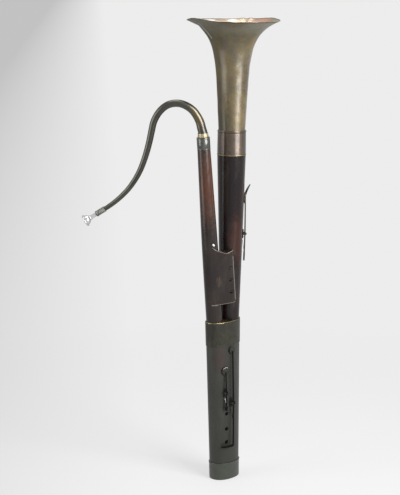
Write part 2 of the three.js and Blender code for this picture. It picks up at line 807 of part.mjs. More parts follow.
function buildBass() {
  const socketFloor = bassLength - bellSocketDepth;
  const sleeveFoot = bassLength - sleeveHeight;
  const ringFoot = sleeveFoot - clearance - sleeveRingHeight;
  const wood = turned([
    [bassFootBore, -bassTenonLength],
    [bassTenonRadius, -bassTenonLength],
    [bassTenonRadius, 0],
    [bassFootRadius, 0],
    [bassRadius(ringFoot), ringFoot - clearance],
    [underSleeve, ringFoot - clearance],
    [underSleeve, bassLength],
    [bellSocketRadius, bassLength],
    [bellSocketRadius, socketFloor],
    [bassTopBore, socketFloor],
  ]);
  const target = inWorld(bassFrame, vec(0, 0, keyThumb.pivotHeight + keyThumb.flapReach));
  const toBass = bassFrame.matrixWorld.clone().invert();
  const cutters = keyCuts(frameThumb, keyThumb, target).map((shape) => shape.applyMatrix4(toBass));
  piece('bass_joint', cut(solidOf(wood), cutters), redWood, bassFrame);
  lapping('bass_lapping', bassTenonRadius, bassTenonLength, bassFrame);

  const inside = underSleeve + clearance;
  piece('bell_sleeve', turned([
    [inside, sleeveFoot],
    [bassSleeveRadius, sleeveFoot],
    [bassTopRadius, bassLength],
    [inside, bassLength],
  ]), copperBrown, bassFrame);
  const ringFace = bassSleeveRadius + sleeveRingProud;
  piece('sleeve_ring', ring(inside, ringFace, ringFoot, ringFoot + sleeveRingHeight), brightBrass, bassFrame);
}

const bellFoot = bassLength + clearance;
const bellBaseRadius = bassTopRadius - bellStep;
const bellRim = bellFoot + bellLength;

function bellRadius(height) {
  const flare = bellFlare * Math.exp((height - bellRim) / bellFlareLength);
  return bellBaseRadius + bellTaper * (height - bellFoot) + flare;
}

function buildBell() {
  // Rings lie closer together towards the rim
  const heights = Array.from({ length: bellRings + 1 }, (_, i) => (
    THREE.MathUtils.lerp(bellRim, bellFoot, (1 - i / bellRings) ** 2)
  ));
  const lip = [bellRadius(bellRim) - bellWall / 2, bellRim + bellWall / 2];
  piece('bell', turned([
    ...heights.map((height) => [bellRadius(height), height]),
    lip,
    ...heights.map((height) => [bellRadius(height) - bellWall, height]).reverse(),
  ], bellSides), oldBrass, bassFrame);

  const inside = bellRadius(bellFoot + beadHeight) + clearance;
  const edge = inside + beadProud / 2;
  piece('bell_bead', turned([
    [inside, bellFoot],
    [edge, bellFoot],
    [inside + beadProud, bellFoot + beadHeight / 3],
    [inside + beadProud, bellFoot + beadHeight * 2 / 3],
    [edge, bellFoot + beadHeight],
    [inside, bellFoot + beadHeight],
  ]), oldBrass, bassFrame);

  const tenonBore = bellTenonRadius - bellTenonWall;
  const tenonLength = bellSocketDepth - clearance;
  const grip = bellBaseRadius - bellWall - clearance;
  piece('bell_tenon', turned([
    [tenonBore, bassLength - tenonLength],
    [bellTenonRadius, bassLength - tenonLength],
    [bellTenonRadius, bassLength],
    [grip, bellFoot],
    [grip, bellFoot + bellTenonGrip],
    [tenonBore, bellFoot + bellTenonGrip],
  ]), oldBrass, bassFrame);
  lapping('bell_lapping', bellTenonRadius, tenonLength, bassFrame, bassLength);
}

// The touch of key B follows the butt's front from the shank to beside the finger holes
function touchBar() {
  const z = ferruleFoot - keyB.flapDrop - keyB.flapReach - keyB.touchReach;
  const low = keyB.pivotLift - leverThickness / 2;
  const start = keyB.x + keyB.shankWidth / 2;
  const end = ovalMiddle(z) + touchBarEndShare * ovalHalfLength(z);
  const edge = (lift) => Array.from({ length: touchBarSteps + 1 }, (_, i) => {
    const x = THREE.MathUtils.lerp(start, end, i / touchBarSteps);
    const point = vec(x, ovalFront(x, z), 0).addScaledVector(ovalOutward(x, z), lift);
    return new THREE.Vector2(point.x, point.y);
  });
  const shape = new THREE.Shape([...edge(low), ...edge(low + leverThickness).reverse()]);
  const depth = 2 * keyB.touchRadius;
  const geometry = new THREE.ExtrudeGeometry(shape, { depth, bevelEnabled: false });
  return geometry.translate(0, 0, z - depth / 2).applyMatrix4(frameB.matrixWorld.clone().invert());
}

// The leaf beyond the thumb key's flap curls away from the tube
function thumbLeaf() {
  const start = keyThumb.flapReach + keyThumb.flapStretch + keyThumb.flapRadius - leverThickness;
  const foot = flapFoot(keyThumb) + flapThickness;
  return strip(Array.from({ length: leafSteps + 1 }, (_, i) => {
    const share = i / leafSteps;
    return [start + leafLength * share, foot + leafRise * share ** 1.5];
  }), leverThickness, leafWidth);
}

buildButt();
buildWing();
buildCrook();
buildMouthpiece();
buildBass();
buildBell();
buildKey('key_a', keyA, frameA, darkMetal);
buildKey('key_b', keyB, frameB, darkMetal, [touchBar()]);
buildKey('thumb_key', keyThumb, frameThumb, oldBrass, [thumbLeaf()]);

export default horn;
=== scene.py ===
# Upright serpent bass horn, dressed for the camera: metres, +Z up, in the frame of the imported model.
import math

import bmesh
import bpy
from mathutils import Matrix, Vector, noise


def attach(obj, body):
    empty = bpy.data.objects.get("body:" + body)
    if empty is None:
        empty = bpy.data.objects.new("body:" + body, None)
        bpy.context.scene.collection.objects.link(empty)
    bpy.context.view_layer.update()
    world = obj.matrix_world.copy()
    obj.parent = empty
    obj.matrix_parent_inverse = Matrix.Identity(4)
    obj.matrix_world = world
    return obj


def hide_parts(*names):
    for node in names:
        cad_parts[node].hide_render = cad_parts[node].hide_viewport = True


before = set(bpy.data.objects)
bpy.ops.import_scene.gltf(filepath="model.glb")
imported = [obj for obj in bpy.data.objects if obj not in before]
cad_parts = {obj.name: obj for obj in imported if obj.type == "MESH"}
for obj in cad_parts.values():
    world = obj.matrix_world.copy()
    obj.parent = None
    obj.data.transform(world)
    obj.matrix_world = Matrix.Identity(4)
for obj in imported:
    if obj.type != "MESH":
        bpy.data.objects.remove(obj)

bl_info = {
    "name": "Serpent bass horn",
    "version": (1, 0, 0),
    "blender": (4, 5, 0),
    "location": "3D View > Sidebar > Horn",
    "description": "Builds an upright serpent bass horn with its bell, crook, mouthpiece and keys",
    "category": "Add Mesh",
}

MM = 0.001
WELD = 0.000002
FULL_TURN, QUARTER_TURN = 2 * math.pi, math.pi / 2
EDGE_ANGLE, SOFT_EDGE_ANGLE, THIN_EDGE_ANGLE = math.radians(32), math.radians(40), math.radians(50)
IMAGE_WIDTH, IMAGE_HEIGHT = 400, 495

# The stage, in metres and watts, with the lamps as name, place, target, size and power. The paper's painted
# shade on the left leans a little away from the camera
FLOOR_RADIUS = 45
PAPER_TONE, FADED_SHARE, FADE_LEAN = 0.845, 0.64, 0.0688
LIT_WORLD = (0.3, 0.302, 0.305, 1)
LAMPS = [
    ("Strip light", (0.08, -1.95, 1.42), (0, 0, 1.1), (1.25, 1.85), 67),
    ("Side light", (-1.85, 0.7, 0.95), (0, 0, 0.6), (1.2, 1.9), 21),
    ("Top light", (0.3, 0.1, 3.4), (0, 0, 0.5), (2.2, 2.2), 46),
]

# The camera: place and level heading in metres, pitch down, focal length in pixels, sensor in millimetres
CAMERA_PLACE = (-2.4288, -2.4283, 1.2987)
CAMERA_HEADING = (0.6947, 0.7193)
CAMERA_PITCH = math.radians(11.84)
FOCAL_PIXELS, SENSOR_WIDTH, FAR_CLIP = 1457, 36, 200


def frame_at(origin, across, along):
    """A frame from its origin in millimetres and its X and Z axes"""
    z = Vector(along).normalized()
    x = Vector(across)
    x = (x - z * x.dot(z)).normalized()
    turn = Matrix((x, z.cross(x), z)).transposed().to_4x4()
    return Matrix.Translation(Vector(origin) * MM) @ turn


# Frames of the joints and keys
WING_AXIS = (-0.084895, 0, 0.99639)
WING = frame_at((-34.8, 0, 400), (0.99639, 0, 0.084895), WING_AXIS)
BASS = frame_at((16.6, 0, 400), (0.999938, 0, -0.01117), (0.01117, 0, 0.999938))
CROOK = frame_at((-73.368, 0, 852.66), (-0.716743, 0.694658, -0.061069), WING_AXIS)
CROOK_END = frame_at(
    (-239.184, 174.012, 676.246),
    (0.41764, -0.332532, -0.845576),
    (-0.588646, 0.609896, -0.530587),
)
KEY_A = frame_at((-24, -25.599, 225), (0.969299, -0.245885, 0), (0, 0, 1))
KEY_B = frame_at((-5, -27.792, 197), (0.999938, -0.011151, 0), (0, 0, 1))
KEY_THUMB = frame_at(
    (43.5, -15.344, 609.713),
    (0.529886, 0.848048, -0.005919),
    (0.034398, -0.014518, 0.999303),
)

# The butt's oval, in millimetres
BUTT_HEIGHT = 402
FOOT_HALF_LENGTH = 40
SHOULDER_HALF_LENGTH = 49.7
SHOULDER_SHIFT = -7
HALF_WIDTH = 27.8
OVAL_POWER = 2.2

# The crook's middle line in its own XZ plane, in millimetres from its foot
CROOK_LINE = [
    (0, 0), (0, 10), (2, 20), (6, 38.7), (18.8, 62.9), (35.1, 76.7), (54.4, 83.5), (76.9, 81.1),
    (96.4, 67.6), (111.7, 45.2), (119, 22.1), (125.5, -1), (133, -24.1), (142, -47.2), (152.8, -70.3),
    (167.3, -93.1), (186.4, -115.9), (212.4, -138.3), (236, -153.8), (250.5, -161.7),
]
CROOK_FOOT_RADIUS, CROOK_ARCH_RADIUS, CROOK_TIP_RADIUS = 11.2, 8.75, 5.4
CROOK_ARCH_SHARE = 0.24

# The bell, in millimetres up the bass joint's axis
BELL_FOOT, BELL_RIM = 457.3, 720.0
BELL_FOOT_RADIUS, BELL_TAPER = 31.6, 0.047
BELL_FLARE, BELL_FLARE_LENGTH = 66, 31
BELL_WALL, BELL_BEND_REACH, BELL_LIP_RADIUS = 1.1, 34, 104
RIGHT_OF_VIEW = math.radians(-44)
RIGHT_OF_VIEW_AXIS = (math.cos(RIGHT_OF_VIEW), math.sin(RIGHT_OF_VIEW), 0)
LEFT_OF_VIEW = (-RIGHT_OF_VIEW_AXIS[0], -RIGHT_OF_VIEW_AXIS[1], 0)

# The flange's front seen from above and its top edge seen from the front, as shares of its reach, its
# front and its shoulder's rise
FLANGE_PLAN = [
    (-0.3, 0.3), (-0.22, 0.5), (-0.15, 0.64), (0, 0.75), (0.2, 0.83), (0.41, 0.9), (0.62, 0.96), (0.82, 1),
    (0.95, 1), (1, 0.96),
]
FLANGE_LEDGE = [(1, 0.16), (0.75, 0.04), (0.57, 0), (0.28, 0.26), (0, 0.58), (-0.3, 1.2)]

# The bell's curled left lip, crease, dents and ripple, in degrees round it from its right-hand tip and in
# millimetres
LIP_MIDDLE, LIP_SPREAD, LIP_CURL, LIP_DEPTH, LIP_FADE = 184, 26, 6.5, 13, 8
CREASE_TURN, CREASE_LEAN, VALLEY_TURN = 206.5, 0.2, 5
RIDGE_RISE, RIDGE_SPREAD, VALLEY_DEPTH, VALLEY_SPREAD = 1.8, 2.4, 3.2, 3
DENT_SIZE, RIPPLE_TURN, RIPPLE_RISE = 26, 7, 0.8

# How far the rim is bent up or down, in millimetres, at degrees round the bell from its right-hand tip
RIM_BENDS = [
    (0, -1.4), (14, 0.6), (30, 2.9), (42, 1.6), (58, -0.8), (66, 0.7), (71, -1.6), (76, -0.2), (90, -2.6),
    (120, -1.5), (140, -1.5), (160, -2), (180, -1.4), (198, 3), (213, 6), (224, 5.6), (232, 3), (247, 0.5),
    (270, -0.7), (300, -1.2), (322, -1.6), (345, -2.2), (360, -1.4),
]


# Mesh shapes. Each gives a bmesh in metres
def lathe(outline, place, steps=96):
    """Turns a closed outline of (radius, height) points, in millimetres, round Z"""
    shape = bmesh.new()
    corners = [shape.verts.new((radius * MM, 0, height * MM)) for radius, height in outline]
    edges = [shape.edges.new(pair) for pair in zip(corners, corners[1:] + corners[:1])]
    bmesh.ops.spin(
        shape, geom=corners + edges, axis=(0, 0, 1), cent=(0, 0, 0), angle=FULL_TURN, steps=steps,
        use_merge=True,
    )
    bmesh.ops.remove_doubles(shape, verts=shape.verts, dist=WELD)
    loose = [edge for edge in shape.edges if not edge.link_faces]
    bmesh.ops.delete(shape, geom=loose, context="EDGES")
    shape.transform(place)
    bmesh.ops.recalc_face_normals(shape, faces=shape.faces)
    return shape


def clamped(value):
    return min(max(value, 0), 1)


def hill(value, middle, spread):
    """1 at the middle, falling off smoothly to both sides"""
    return math.exp(-(((value - middle) / spread) ** 2))


def squared(value, power):
    return math.copysign(abs(value) ** (2 / power), value)


def oval_middle(height):
    return SHOULDER_SHIFT * height / BUTT_HEIGHT


def oval_half_length(height):
    return FOOT_HALF_LENGTH + (SHOULDER_HALF_LENGTH - FOOT_HALF_LENGTH) * height / BUTT_HEIGHT


def oval_front(x, height):
    across = abs(x - oval_middle(height)) / oval_half_length(height)
    return -HALF_WIDTH * (1 - across**OVAL_POWER) ** (1 / OVAL_POWER)


def oval_outward(x, height):
    across = (x - oval_middle(height)) / oval_half_length(height)
    out_x = math.copysign(abs(across) ** (OVAL_POWER - 1), across) / oval_half_length(height)
    out_y = abs(oval_front(x, height) / HALF_WIDTH) ** (OVAL_POWER - 1) / HALF_WIDTH
    return Vector((out_x, -out_y, 0)).normalized()


def oval_turned(outline, steps=144):
    """Turns (offset from the butt's oval or None on its axis, height) points round the oval"""
    # The outline is turned round a circle of one metre first, which is then drawn in to the oval
    unit = [(0 if offset is None else 1 / MM + offset, height) for offset, height in outline]
    shape = lathe(unit, Matrix.Identity(4), steps)
    for vert in shape.verts:
        reach = math.hypot(vert.co.x, vert.co.y)
        height = vert.co.z / MM
        if reach < 0.5:
            vert.co.x = oval_middle(height) * MM
            continue
        offset = (reach - 1) / MM
        across, ahead = squared(vert.co.x / reach, OVAL_POWER), squared(vert.co.y / reach, OVAL_POWER)
        x = oval_middle(height) + across * (oval_half_length(height) + offset)
        vert.co = Vector((x * MM, ahead * (HALF_WIDTH + offset) * MM, vert.co.z))
    bmesh.ops.recalc_face_normals(shape, faces=shape.faces)
    return shape


def rod(start, end, radius, end_radius=None, sides=40):
    """A round bar between two points in millimetres"""
    start, end = Vector(start), Vector(end)
    span = end - start
    shape = bmesh.new()
    bmesh.ops.create_cone(
        shape,
        cap_ends=True,
        segments=sides,
        radius1=radius * MM,
        radius2=(radius if end_radius is None else end_radius) * MM,
        depth=span.length * MM,
    )
    turn = Vector((0, 0, 1)).rotation_difference(span).to_matrix().to_4x4()
    shape.transform(Matrix.Translation((start + end) / 2 * MM) @ turn)
    return shape


def in_world(place, point):
    """A point of a frame, in millimetres of the world"""
    return place @ (Vector(point) * MM) / MM


def verts_of(geometry):
    return [item for item in geometry if isinstance(item, bmesh.types.BMVert)]


def swept(stations, sides=16, loop=False, power=2):
    """A bar through stations, matrices whose X and Y columns carry its half width and half thickness"""
    shape = bmesh.new()
    ring = bmesh.ops.create_circle(shape, segments=sides, radius=1)["verts"]
    for vert in ring:
        vert.co.x, vert.co.y = squared(vert.co.x, power), squared(vert.co.y, power)
    first = edges = list(shape.edges)
    bmesh.ops.transform(shape, matrix=stations[0], verts=ring)
    for before, after in zip(stations, stations[1:]):
        grown = bmesh.ops.extrude_edge_only(shape, edges=edges)["geom"]
        ring = verts_of(grown)
        held = set(ring)
        grown_edges = [item for item in grown if isinstance(item, bmesh.types.BMEdge)]
        edges = [edge for edge in grown_edges if held.issuperset(edge.verts)]
        bmesh.ops.transform(shape, matrix=after @ before.inverted(), verts=ring)
    if loop:
        bmesh.ops.bridge_loops(shape, edges=first + edges)
    else:
        bmesh.ops.holes_fill(shape, edges=first + edges, sides=0)
    bmesh.ops.recalc_face_normals(shape, faces=shape.faces)
    return shape


def station(point, tangent, across, half_width, half_thickness):
    """A section at a point in millimetres, square to the tangent, its width along the across direction"""
    return frame_at(point, across, tangent) @ Matrix.Diagonal((half_width * MM, half_thickness * MM, MM, 1))


def along_path(points, across, widths, thicknesses):
    """Stations at a path's points, each square to the line from the point before to the one after"""
    last = len(points) - 1
    made = []
    for i, point in enumerate(points):
        tangent = Vector(points[min(i + 1, last)]) - Vector(points[max(i - 1, 0)])
        made.append(station(point, tangent, across, widths[i], thicknesses[i]))
    return made


def smooth(points, steps=6):
    """More points on a smooth line through these, which keeps to the chord lengths between them"""
    points = [Vector(point) for point in points]
    last = len(points) - 1
    gaps = [(b - a).length ** 0.5 for a, b in zip(points, points[1:])]
    line = [points[0]]
    for i in range(last):
        a, b = points[i], points[i + 1]
        before, after = points[max(i - 1, 0)], points[min(i + 2, last)]
        gap = gaps[i]
        slope_a = (b - a) / gap
        slope_b = (b - a) / gap
        if i > 0:
            gap_before = gaps[i - 1]
            slope_a += (a - before) / gap_before - (b - before) / (gap_before + gap)
        if i + 1 < last:
            gap_after = gaps[i + 1]
            slope_b += (after - b) / gap_after - (after - a) / (gap_after + gap)
        for step in range(1, steps + 1):
            t = step / steps
            line.append(
                a * (2 * t**3 - 3 * t**2 + 1)
                + slope_a * gap * (t**3 - 2 * t**2 + t)
                + b * (3 * t**2 - 2 * t**3)
                + slope_b * gap * (t**3 - t**2)
            )
    return line


def height_on(line, x):
    """The second coordinate of a line at a value of its first, on a line that runs either way along X"""
    for before, after in zip(line, line[1:]):
        low, high = sorted((before, after), key=lambda point: point.x)
        if low.x <= x <= high.x:
            return low.y + (high.y - low.y) * (x - low.x) / max(high.x - low.x, 0.001)
    return line[0].y if abs(line[0].x - x) < abs(line[-1].x - x) else line[-1].y


def on_flange_rim(edge, left_end, back):
    """Whether an edge lies on the flange's front at its top, right or bottom, where a side meets it"""
    front = all(vert.co.y < (back - 1) * MM for vert in edge.verts)
    away = all(vert.co.x > (left_end + 1) * MM for vert in edge.verts)
    slants = sorted(abs(face.normal.y) for face in edge.link_faces)
    return front and away and len(slants) == 2 and slants[0] < 0.05 and slants[1] > 0.3


def joined(shapes):
    """Several shapes as one mesh"""
    whole = shapes[0]
    for shape in shapes[1:]:
        spare = bpy.data.meshes.new("spare")
        shape.to_mesh(spare)
        shape.free()
        whole.from_mesh(spare)
        bpy.data.meshes.remove(spare)
    return whole


def as_object(name, shape):
    """A shape as a new object of the scene"""
    mesh = bpy.data.meshes.new(name)
    shape.to_mesh(mesh)
    shape.free()
    made = bpy.data.objects.new(name, mesh)
    bpy.context.scene.collection.objects.link(made)
    return made


def combined(base, cutters, added=()):
    """A shape with others added to it and then cut by cutters"""
    target = as_object("scratch", base)
    tools = []
    for operation, shapes in (("UNION", added), ("DIFFERENCE", cutters)):
        for shape in shapes:
            modifier = target.modifiers.new("combine", "BOOLEAN")
            modifier.operation = operation
            modifier.solver = "EXACT"
            modifier.object = as_object("scratch", shape)
            tools.append(modifier.object)
    result = bmesh.new()
    result.from_object(target, bpy.context.evaluated_depsgraph_get())
    for spare in [target, *tools]:
        mesh = spare.data
        bpy.data.objects.remove(spare)
        bpy.data.meshes.remove(mesh)
    return result


def round_edges(piece, width, angle):
    """Rounds the edges sharper than an angle by a width in millimetres"""
    rounding = piece.modifiers.new("Rounded edges", "BEVEL")
    rounding.width = width * MM
    rounding.segments = 2
    rounding.limit_method = "ANGLE"
    rounding.angle_limit = angle
    return rounding


def add_piece(name, shape, body, nodes, materials, bevel, worn=False, crease=EDGE_ANGLE):
    """Makes a shape into a finished piece that rides on a body and stands for CAD nodes"""
    bmesh.ops.remove_doubles(shape, verts=shape.verts, dist=WELD)
    piece = as_object(name, shape)
    piece.data.shade_smooth()
    piece.data.set_sharp_from_angle(angle=crease)
    for material in materials:
        piece.data.materials.append(finish(material))
    if bevel:
        rounding = round_edges(piece, bevel, crease)
        rounding.harden_normals = True
        if worn:
            rounding.material = len(materials) - 1
    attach(piece, body)
    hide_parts(*nodes)


def give_faces(shape, index, wanted):
    """Gives the faces that pass a test another of the piece's materials"""
    for face in shape.faces:
        if wanted(face):
            face.material_index = index


# Shader nodes
def node(tree, kind, inputs=None, **settings):
    """A shader node, with its settings and with values or links for its inputs"""
    made = tree.nodes.new(kind)
    for name, value in settings.items():
        setattr(made, name, value)
    for name, value in (inputs or {}).items():
        put(tree, made.inputs[name], value)
    return made


def put(tree, socket, value):
    """Links a socket to another one, or gives it a value"""
    if isinstance(value, bpy.types.NodeSocket):
        tree.links.new(value, socket)
    else:
        socket.default_value = value


def noise_value(tree, vector, scale, detail=4, roughness=0.55, distortion=0.0):
    inputs = {"Vector": vector, "Scale": scale, "Detail": detail}
    inputs |= {"Roughness": roughness, "Distortion": distortion}
    return node(tree, "ShaderNodeTexNoise", inputs).outputs["Fac"]


def cell_distance(tree, vector, scale, feature="F1"):
    inputs = {"Vector": vector, "Scale": scale}
    return node(tree, "ShaderNodeTexVoronoi", inputs, feature=feature).outputs["Distance"]


def stretched(tree, vector, scale, turn=(0, 0, 0)):
    inputs = {"Vector": vector, "Scale": scale, "Rotation": turn}
    return node(tree, "ShaderNodeMapping", inputs).outputs["Vector"]


def ranged(tree, value, low, high, to_low=0.0, to_high=1.0):
    inputs = {"Value": value, "From Min": low, "From Max": high, "To Min": to_low, "To Max": to_high}
    return node(tree, "ShaderNodeMapRange", inputs).outputs["Result"]


def maths(tree, operation, first, second=0.0, clamp=True):
    inputs = {0: first, 1: second}
    return node(tree, "ShaderNodeMath", inputs, operation=operation, use_clamp=clamp).outputs[0]


def vector_maths(tree, operation, inputs, output="Vector"):
    return node(tree, "ShaderNodeVectorMath", inputs, operation=operation).outputs[output]


def mixed(tree, factor, first, second):
    """Two colours mixed by a factor"""
    return node(tree, "ShaderNodeMix", {0: factor, 6: first, 7: second}, data_type="RGBA").outputs[2]


def tinted(tree, colour, tint, mask, share):
    """A colour that takes a share of a tint where the mask is"""
    return mixed(tree, maths(tree, "MULTIPLY", mask, share), colour, tint)


def grey(tone):
    return (tone, tone, tone, 1)


def mask_group(name, numbers, outputs):
    """A new node group that makes masks from a vector and some numbers"""
    tree = bpy.data.node_groups.new(name, "ShaderNodeTree")
    tree.interface.new_socket(name="Vector", in_out="INPUT", socket_type="NodeSocketVector")
    for label, value in numbers.items():
        socket = tree.interface.new_socket(name=label, in_out="INPUT", socket_type="NodeSocketFloat")
        socket.default_value = value
    for label in outputs:
        tree.interface.new_socket(name=label, in_out="OUTPUT", socket_type="NodeSocketFloat")
    return tree, tree.nodes.new("NodeGroupInput").outputs, tree.nodes.new("NodeGroupOutput").inputs


def patina_group(name):
    """Masks for old metal: broad clouds, fine mottling, long streaks, small specks and thin scratches"""
    numbers = {"Scale": 1.0, "Streak Length": 8.0}
    outputs = ["Clouds", "Mottle", "Streaks", "Specks", "Scratches"]
    tree, start, end = mask_group(name, numbers, outputs)
    place = vector_maths(tree, "SCALE", {0: start["Vector"], "Scale": start["Scale"]})
    inverse = maths(tree, "DIVIDE", 1.0, start["Streak Length"], clamp=False)
    drawn = node(tree, "ShaderNodeCombineXYZ", {"X": 1.0, "Y": 1.0, "Z": inverse}).outputs["Vector"]
    long = vector_maths(tree, "MULTIPLY", {0: place, 1: drawn})
    for output, vector, pattern, low, high in (
        ("Clouds", place, (18, 3, 0.5, 0.6), 0.36, 0.66),
        ("Mottle", place, (85, 6, 0.62, 0.9), 0.33, 0.7),
        ("Streaks", long, (120, 4, 0.6, 0.3), 0.38, 0.68),
        ("Specks", place, (420, 2, 0.5), 0.62, 0.74),
    ):
        tree.links.new(ranged(tree, noise_value(tree, vector, *pattern), low, high), end[output])
    scratched = cell_distance(tree, long, 240, "DISTANCE_TO_EDGE")
    tree.links.new(ranged(tree, scratched, 0.0, 0.05, 1.0, 0.0), end["Scratches"])
    return tree


def grain_group(name):
    """Masks for stained wood: long grain, open pores, slow figure, thin patches of stain and a ripple"""
    tree, start, end = mask_group(name, {}, ["Grain", "Pores", "Figure", "Patches", "Ripple"])
    for output, shortening, pattern, low, high in (
        ("Grain", 0.045, (320, 5, 0.6, 0.4), 0.34, 0.68),
        ("Pores", 0.09, (900, 2, 0.5), 0.6, 0.72),
        ("Figure", 0.22, (34, 3, 0.5, 1.2), 0.35, 0.65),
        ("Patches", 0.45, (24, 5, 0.62, 0.5), 0.44, 0.66),
    ):
        drawn = stretched(tree, start["Vector"], (1, 1, shortening))
        tree.links.new(ranged(tree, noise_value(tree, drawn, *pattern), low, high), end[output])
    slow = stretched(tree, start["Vector"], (1, 1, 0.22))
    tree.links.new(noise_value(tree, slow, 60, 2, 0.4), end["Ripple"])
    return tree


MASK_GROUPS = {"Patina masks": patina_group, "Wood masks": grain_group}


def masks(tree, name, vector, **values):
    """The masks of a shared node group, which is made when it is first asked for"""
    made = tree.nodes.new("ShaderNodeGroup")
    made.node_tree = bpy.data.node_groups.get(name) or MASK_GROUPS[name](name)
    tree.links.new(vector, made.inputs["Vector"])
    for label, value in values.items():
        made.inputs[label.replace("_", " ")].default_value = value
    return made.outputs


def seen_directly(tree):
    """1 for rays from the camera and for mirrored ones, which see the stage in the tone it shows"""
    path = tree.nodes.new("ShaderNodeLightPath").outputs
    seen = maths(tree, "MAXIMUM", path["Is Camera Ray"], path["Is Glossy Ray"])
    return maths(tree, "MAXIMUM", seen, path["Is Transmission Ray"])


def new_material(name):
    """A new material's tree and shader, and the place of a point on the object"""
    material = bpy.data.materials.new(name)
    material.use_nodes = True
    tree = material.node_tree
    return tree, tree.nodes["Principled BSDF"], tree.nodes.new("ShaderNodeTexCoord").outputs["Object"]


def feed(tree, shader, **values):
    """Values or links for the shader's inputs, whose names have underscores here for spaces"""
    for name, value in values.items():
        put(tree, shader.inputs[name.replace("_", " ")], value)


def bumped(tree, shader, height, strength, distance):
    """Relief on the shader, with its depth in millimetres"""
    inputs = {"Height": height, "Strength": strength, "Distance": distance * MM}
    tree.links.new(node(tree, "ShaderNodeBump", inputs).outputs["Normal"], shader.inputs["Normal"])


def spot_mask(tree, place, centre, size, strength=1.0):
    """1 round a point and 0 beyond a size, with a ragged edge; both in metres"""
    offset = vector_maths(tree, "SUBTRACT", {0: place, 1: centre})
    unit = vector_maths(tree, "DIVIDE", {0: offset, 1: size})
    reach = vector_maths(tree, "LENGTH", {0: unit}, "Value")
    ragged = noise_value(tree, place, 110, 4, 0.6)
    return ranged(tree, maths(tree, "ADD", reach, ragged, clamp=False), 0.85, 1.45, strength, 0.0)


def line_mask(tree, place, points, width, strength=1.0):
    """1 along a line through points and 0 beyond a width, all in millimetres"""
    if len(points) > 2:
        rest = line_mask(tree, place, points[1:], width, strength)
        return maths(tree, "MAXIMUM", line_mask(tree, place, points[:2], width, strength), rest)
    start, end = (Vector(point) * MM for point in points)
    span = end - start
    offset = vector_maths(tree, "SUBTRACT", {0: place, 1: start})
    share = maths(tree, "MULTIPLY", along(tree, offset, span), 1 / span.length_squared)
    nearest = vector_maths(tree, "SCALE", {0: span, "Scale": share})
    gap = vector_maths(tree, "DISTANCE", {0: offset, 1: nearest}, "Value")
    return ranged(tree, gap, width * 0.35 * MM, width * MM, strength, 0.0)


def along(tree, place, axis):
    """How far a point lies along an axis, in metres"""
    return vector_maths(tree, "DOT_PRODUCT", {0: place, 1: axis}, "Value")


def height_mask(tree, place, low, high):
    """0 below the low height and 1 above the high one, in metres up the horn"""
    z = node(tree, "ShaderNodeSeparateXYZ", {0: place}).outputs["Z"]
    return ranged(tree, z, low, high)


def old_metal(
    name, dark, middle, light, rough=(0.3, 0.5), metallic=0.85, scale=1.0, streak=6.0, bump=0.25, veil=0.4,
    light_spots=(), edge=0.4, fleck=0.35, worn_lines=(),
):
    """Metal with a patina: dark clouds, light streaks and specks, all under a thin dull skin, with painted
    highlight spots and lines where given
    """
    tree, shader, place = new_material(name)
    mask = masks(tree, "Patina masks", place, Scale=scale, Streak_Length=streak)
    colour = mixed(tree, mask["Clouds"], dark, middle)
    colour = tinted(tree, colour, light, mask["Streaks"], fleck)
    colour = tinted(tree, colour, dark, mask["Mottle"], 0.45)
    # Painted highlight spots
    for spot in light_spots:
        colour = mixed(tree, spot_mask(tree, place, *spot), colour, light)
    colour = tinted(tree, colour, light, mask["Specks"], fleck)
    # Painted highlight lines
    for points, width in worn_lines:
        colour = mixed(tree, line_mask(tree, place, points, width, 0.9), colour, shade("flap_worn"))
    roughness = ranged(tree, mask["Mottle"], 0, 1, *rough)
    feed(tree, shader, Base_Color=colour, Metallic=metallic, Roughness=roughness)
    feed(tree, shader, Coat_Weight=veil, Coat_Roughness=0.2, Specular_Tint=grey(edge))
    bumped(tree, shader, maths(tree, "ADD", mask["Mottle"], mask["Scratches"]), bump, 0.15)


def stained_wood(
    name, dark, warm, light, lean=0.0, warm_share=0.6, wear_share=0.25, rough=(0.35, 0.55), gloss=0.3,
    warm_spots=(), worn_spots=(), pale_lines=(),
):
    """Dark stained wood: warm where the stain is thin, with open grain, rubbed patches, a worn polish and
    painted highlight lines where given
    """
    tree, shader, place = new_material(name)
    mask = masks(tree, "Wood masks", stretched(tree, place, (1, 1, 1), (0, lean, 0)))
    warmth = maths(tree, "MULTIPLY", mask["Figure"], warm_share)
    for spot in warm_spots:
        warmth = maths(tree, "MAXIMUM", warmth, spot_mask(tree, place, *spot))
    base = tinted(tree, mixed(tree, warmth, dark, warm), dark, mask["Grain"], 0.4)
    rubbed = maths(tree, "MULTIPLY", maths(tree, "MULTIPLY", mask["Patches"], mask["Grain"]), wear_share)
    for spot in worn_spots:
        worn = maths(tree, "MULTIPLY", spot_mask(tree, place, *spot), mask["Grain"])
        rubbed = maths(tree, "MAXIMUM", rubbed, worn)
    colour = mixed(tree, rubbed, base, light)
    colour = tinted(tree, colour, OPEN_PORE, mask["Pores"], 0.6)
    # Painted highlight lines
    for points, width, strength in pale_lines:
        colour = mixed(tree, line_mask(tree, place, points, width, strength), colour, shade("bare_edge"))
    roughness = ranged(tree, mask["Patches"], 0, 1, *rough)
    feed(tree, shader, Base_Color=colour, Roughness=roughness, Specular_IOR_Level=gloss)
    height = maths(tree, "SUBTRACT", mask["Grain"], mask["Pores"])
    bumped(tree, shader, mixed(tree, 0.5, height, mask["Ripple"]), 0.25, 0.25)


def shade(name):
    """A colour of the panel, as the shader takes it"""
    return (*getattr(bpy.context.scene.horn_colours, name), 1)


def shades(*names):
    return [shade(name) for name in names]


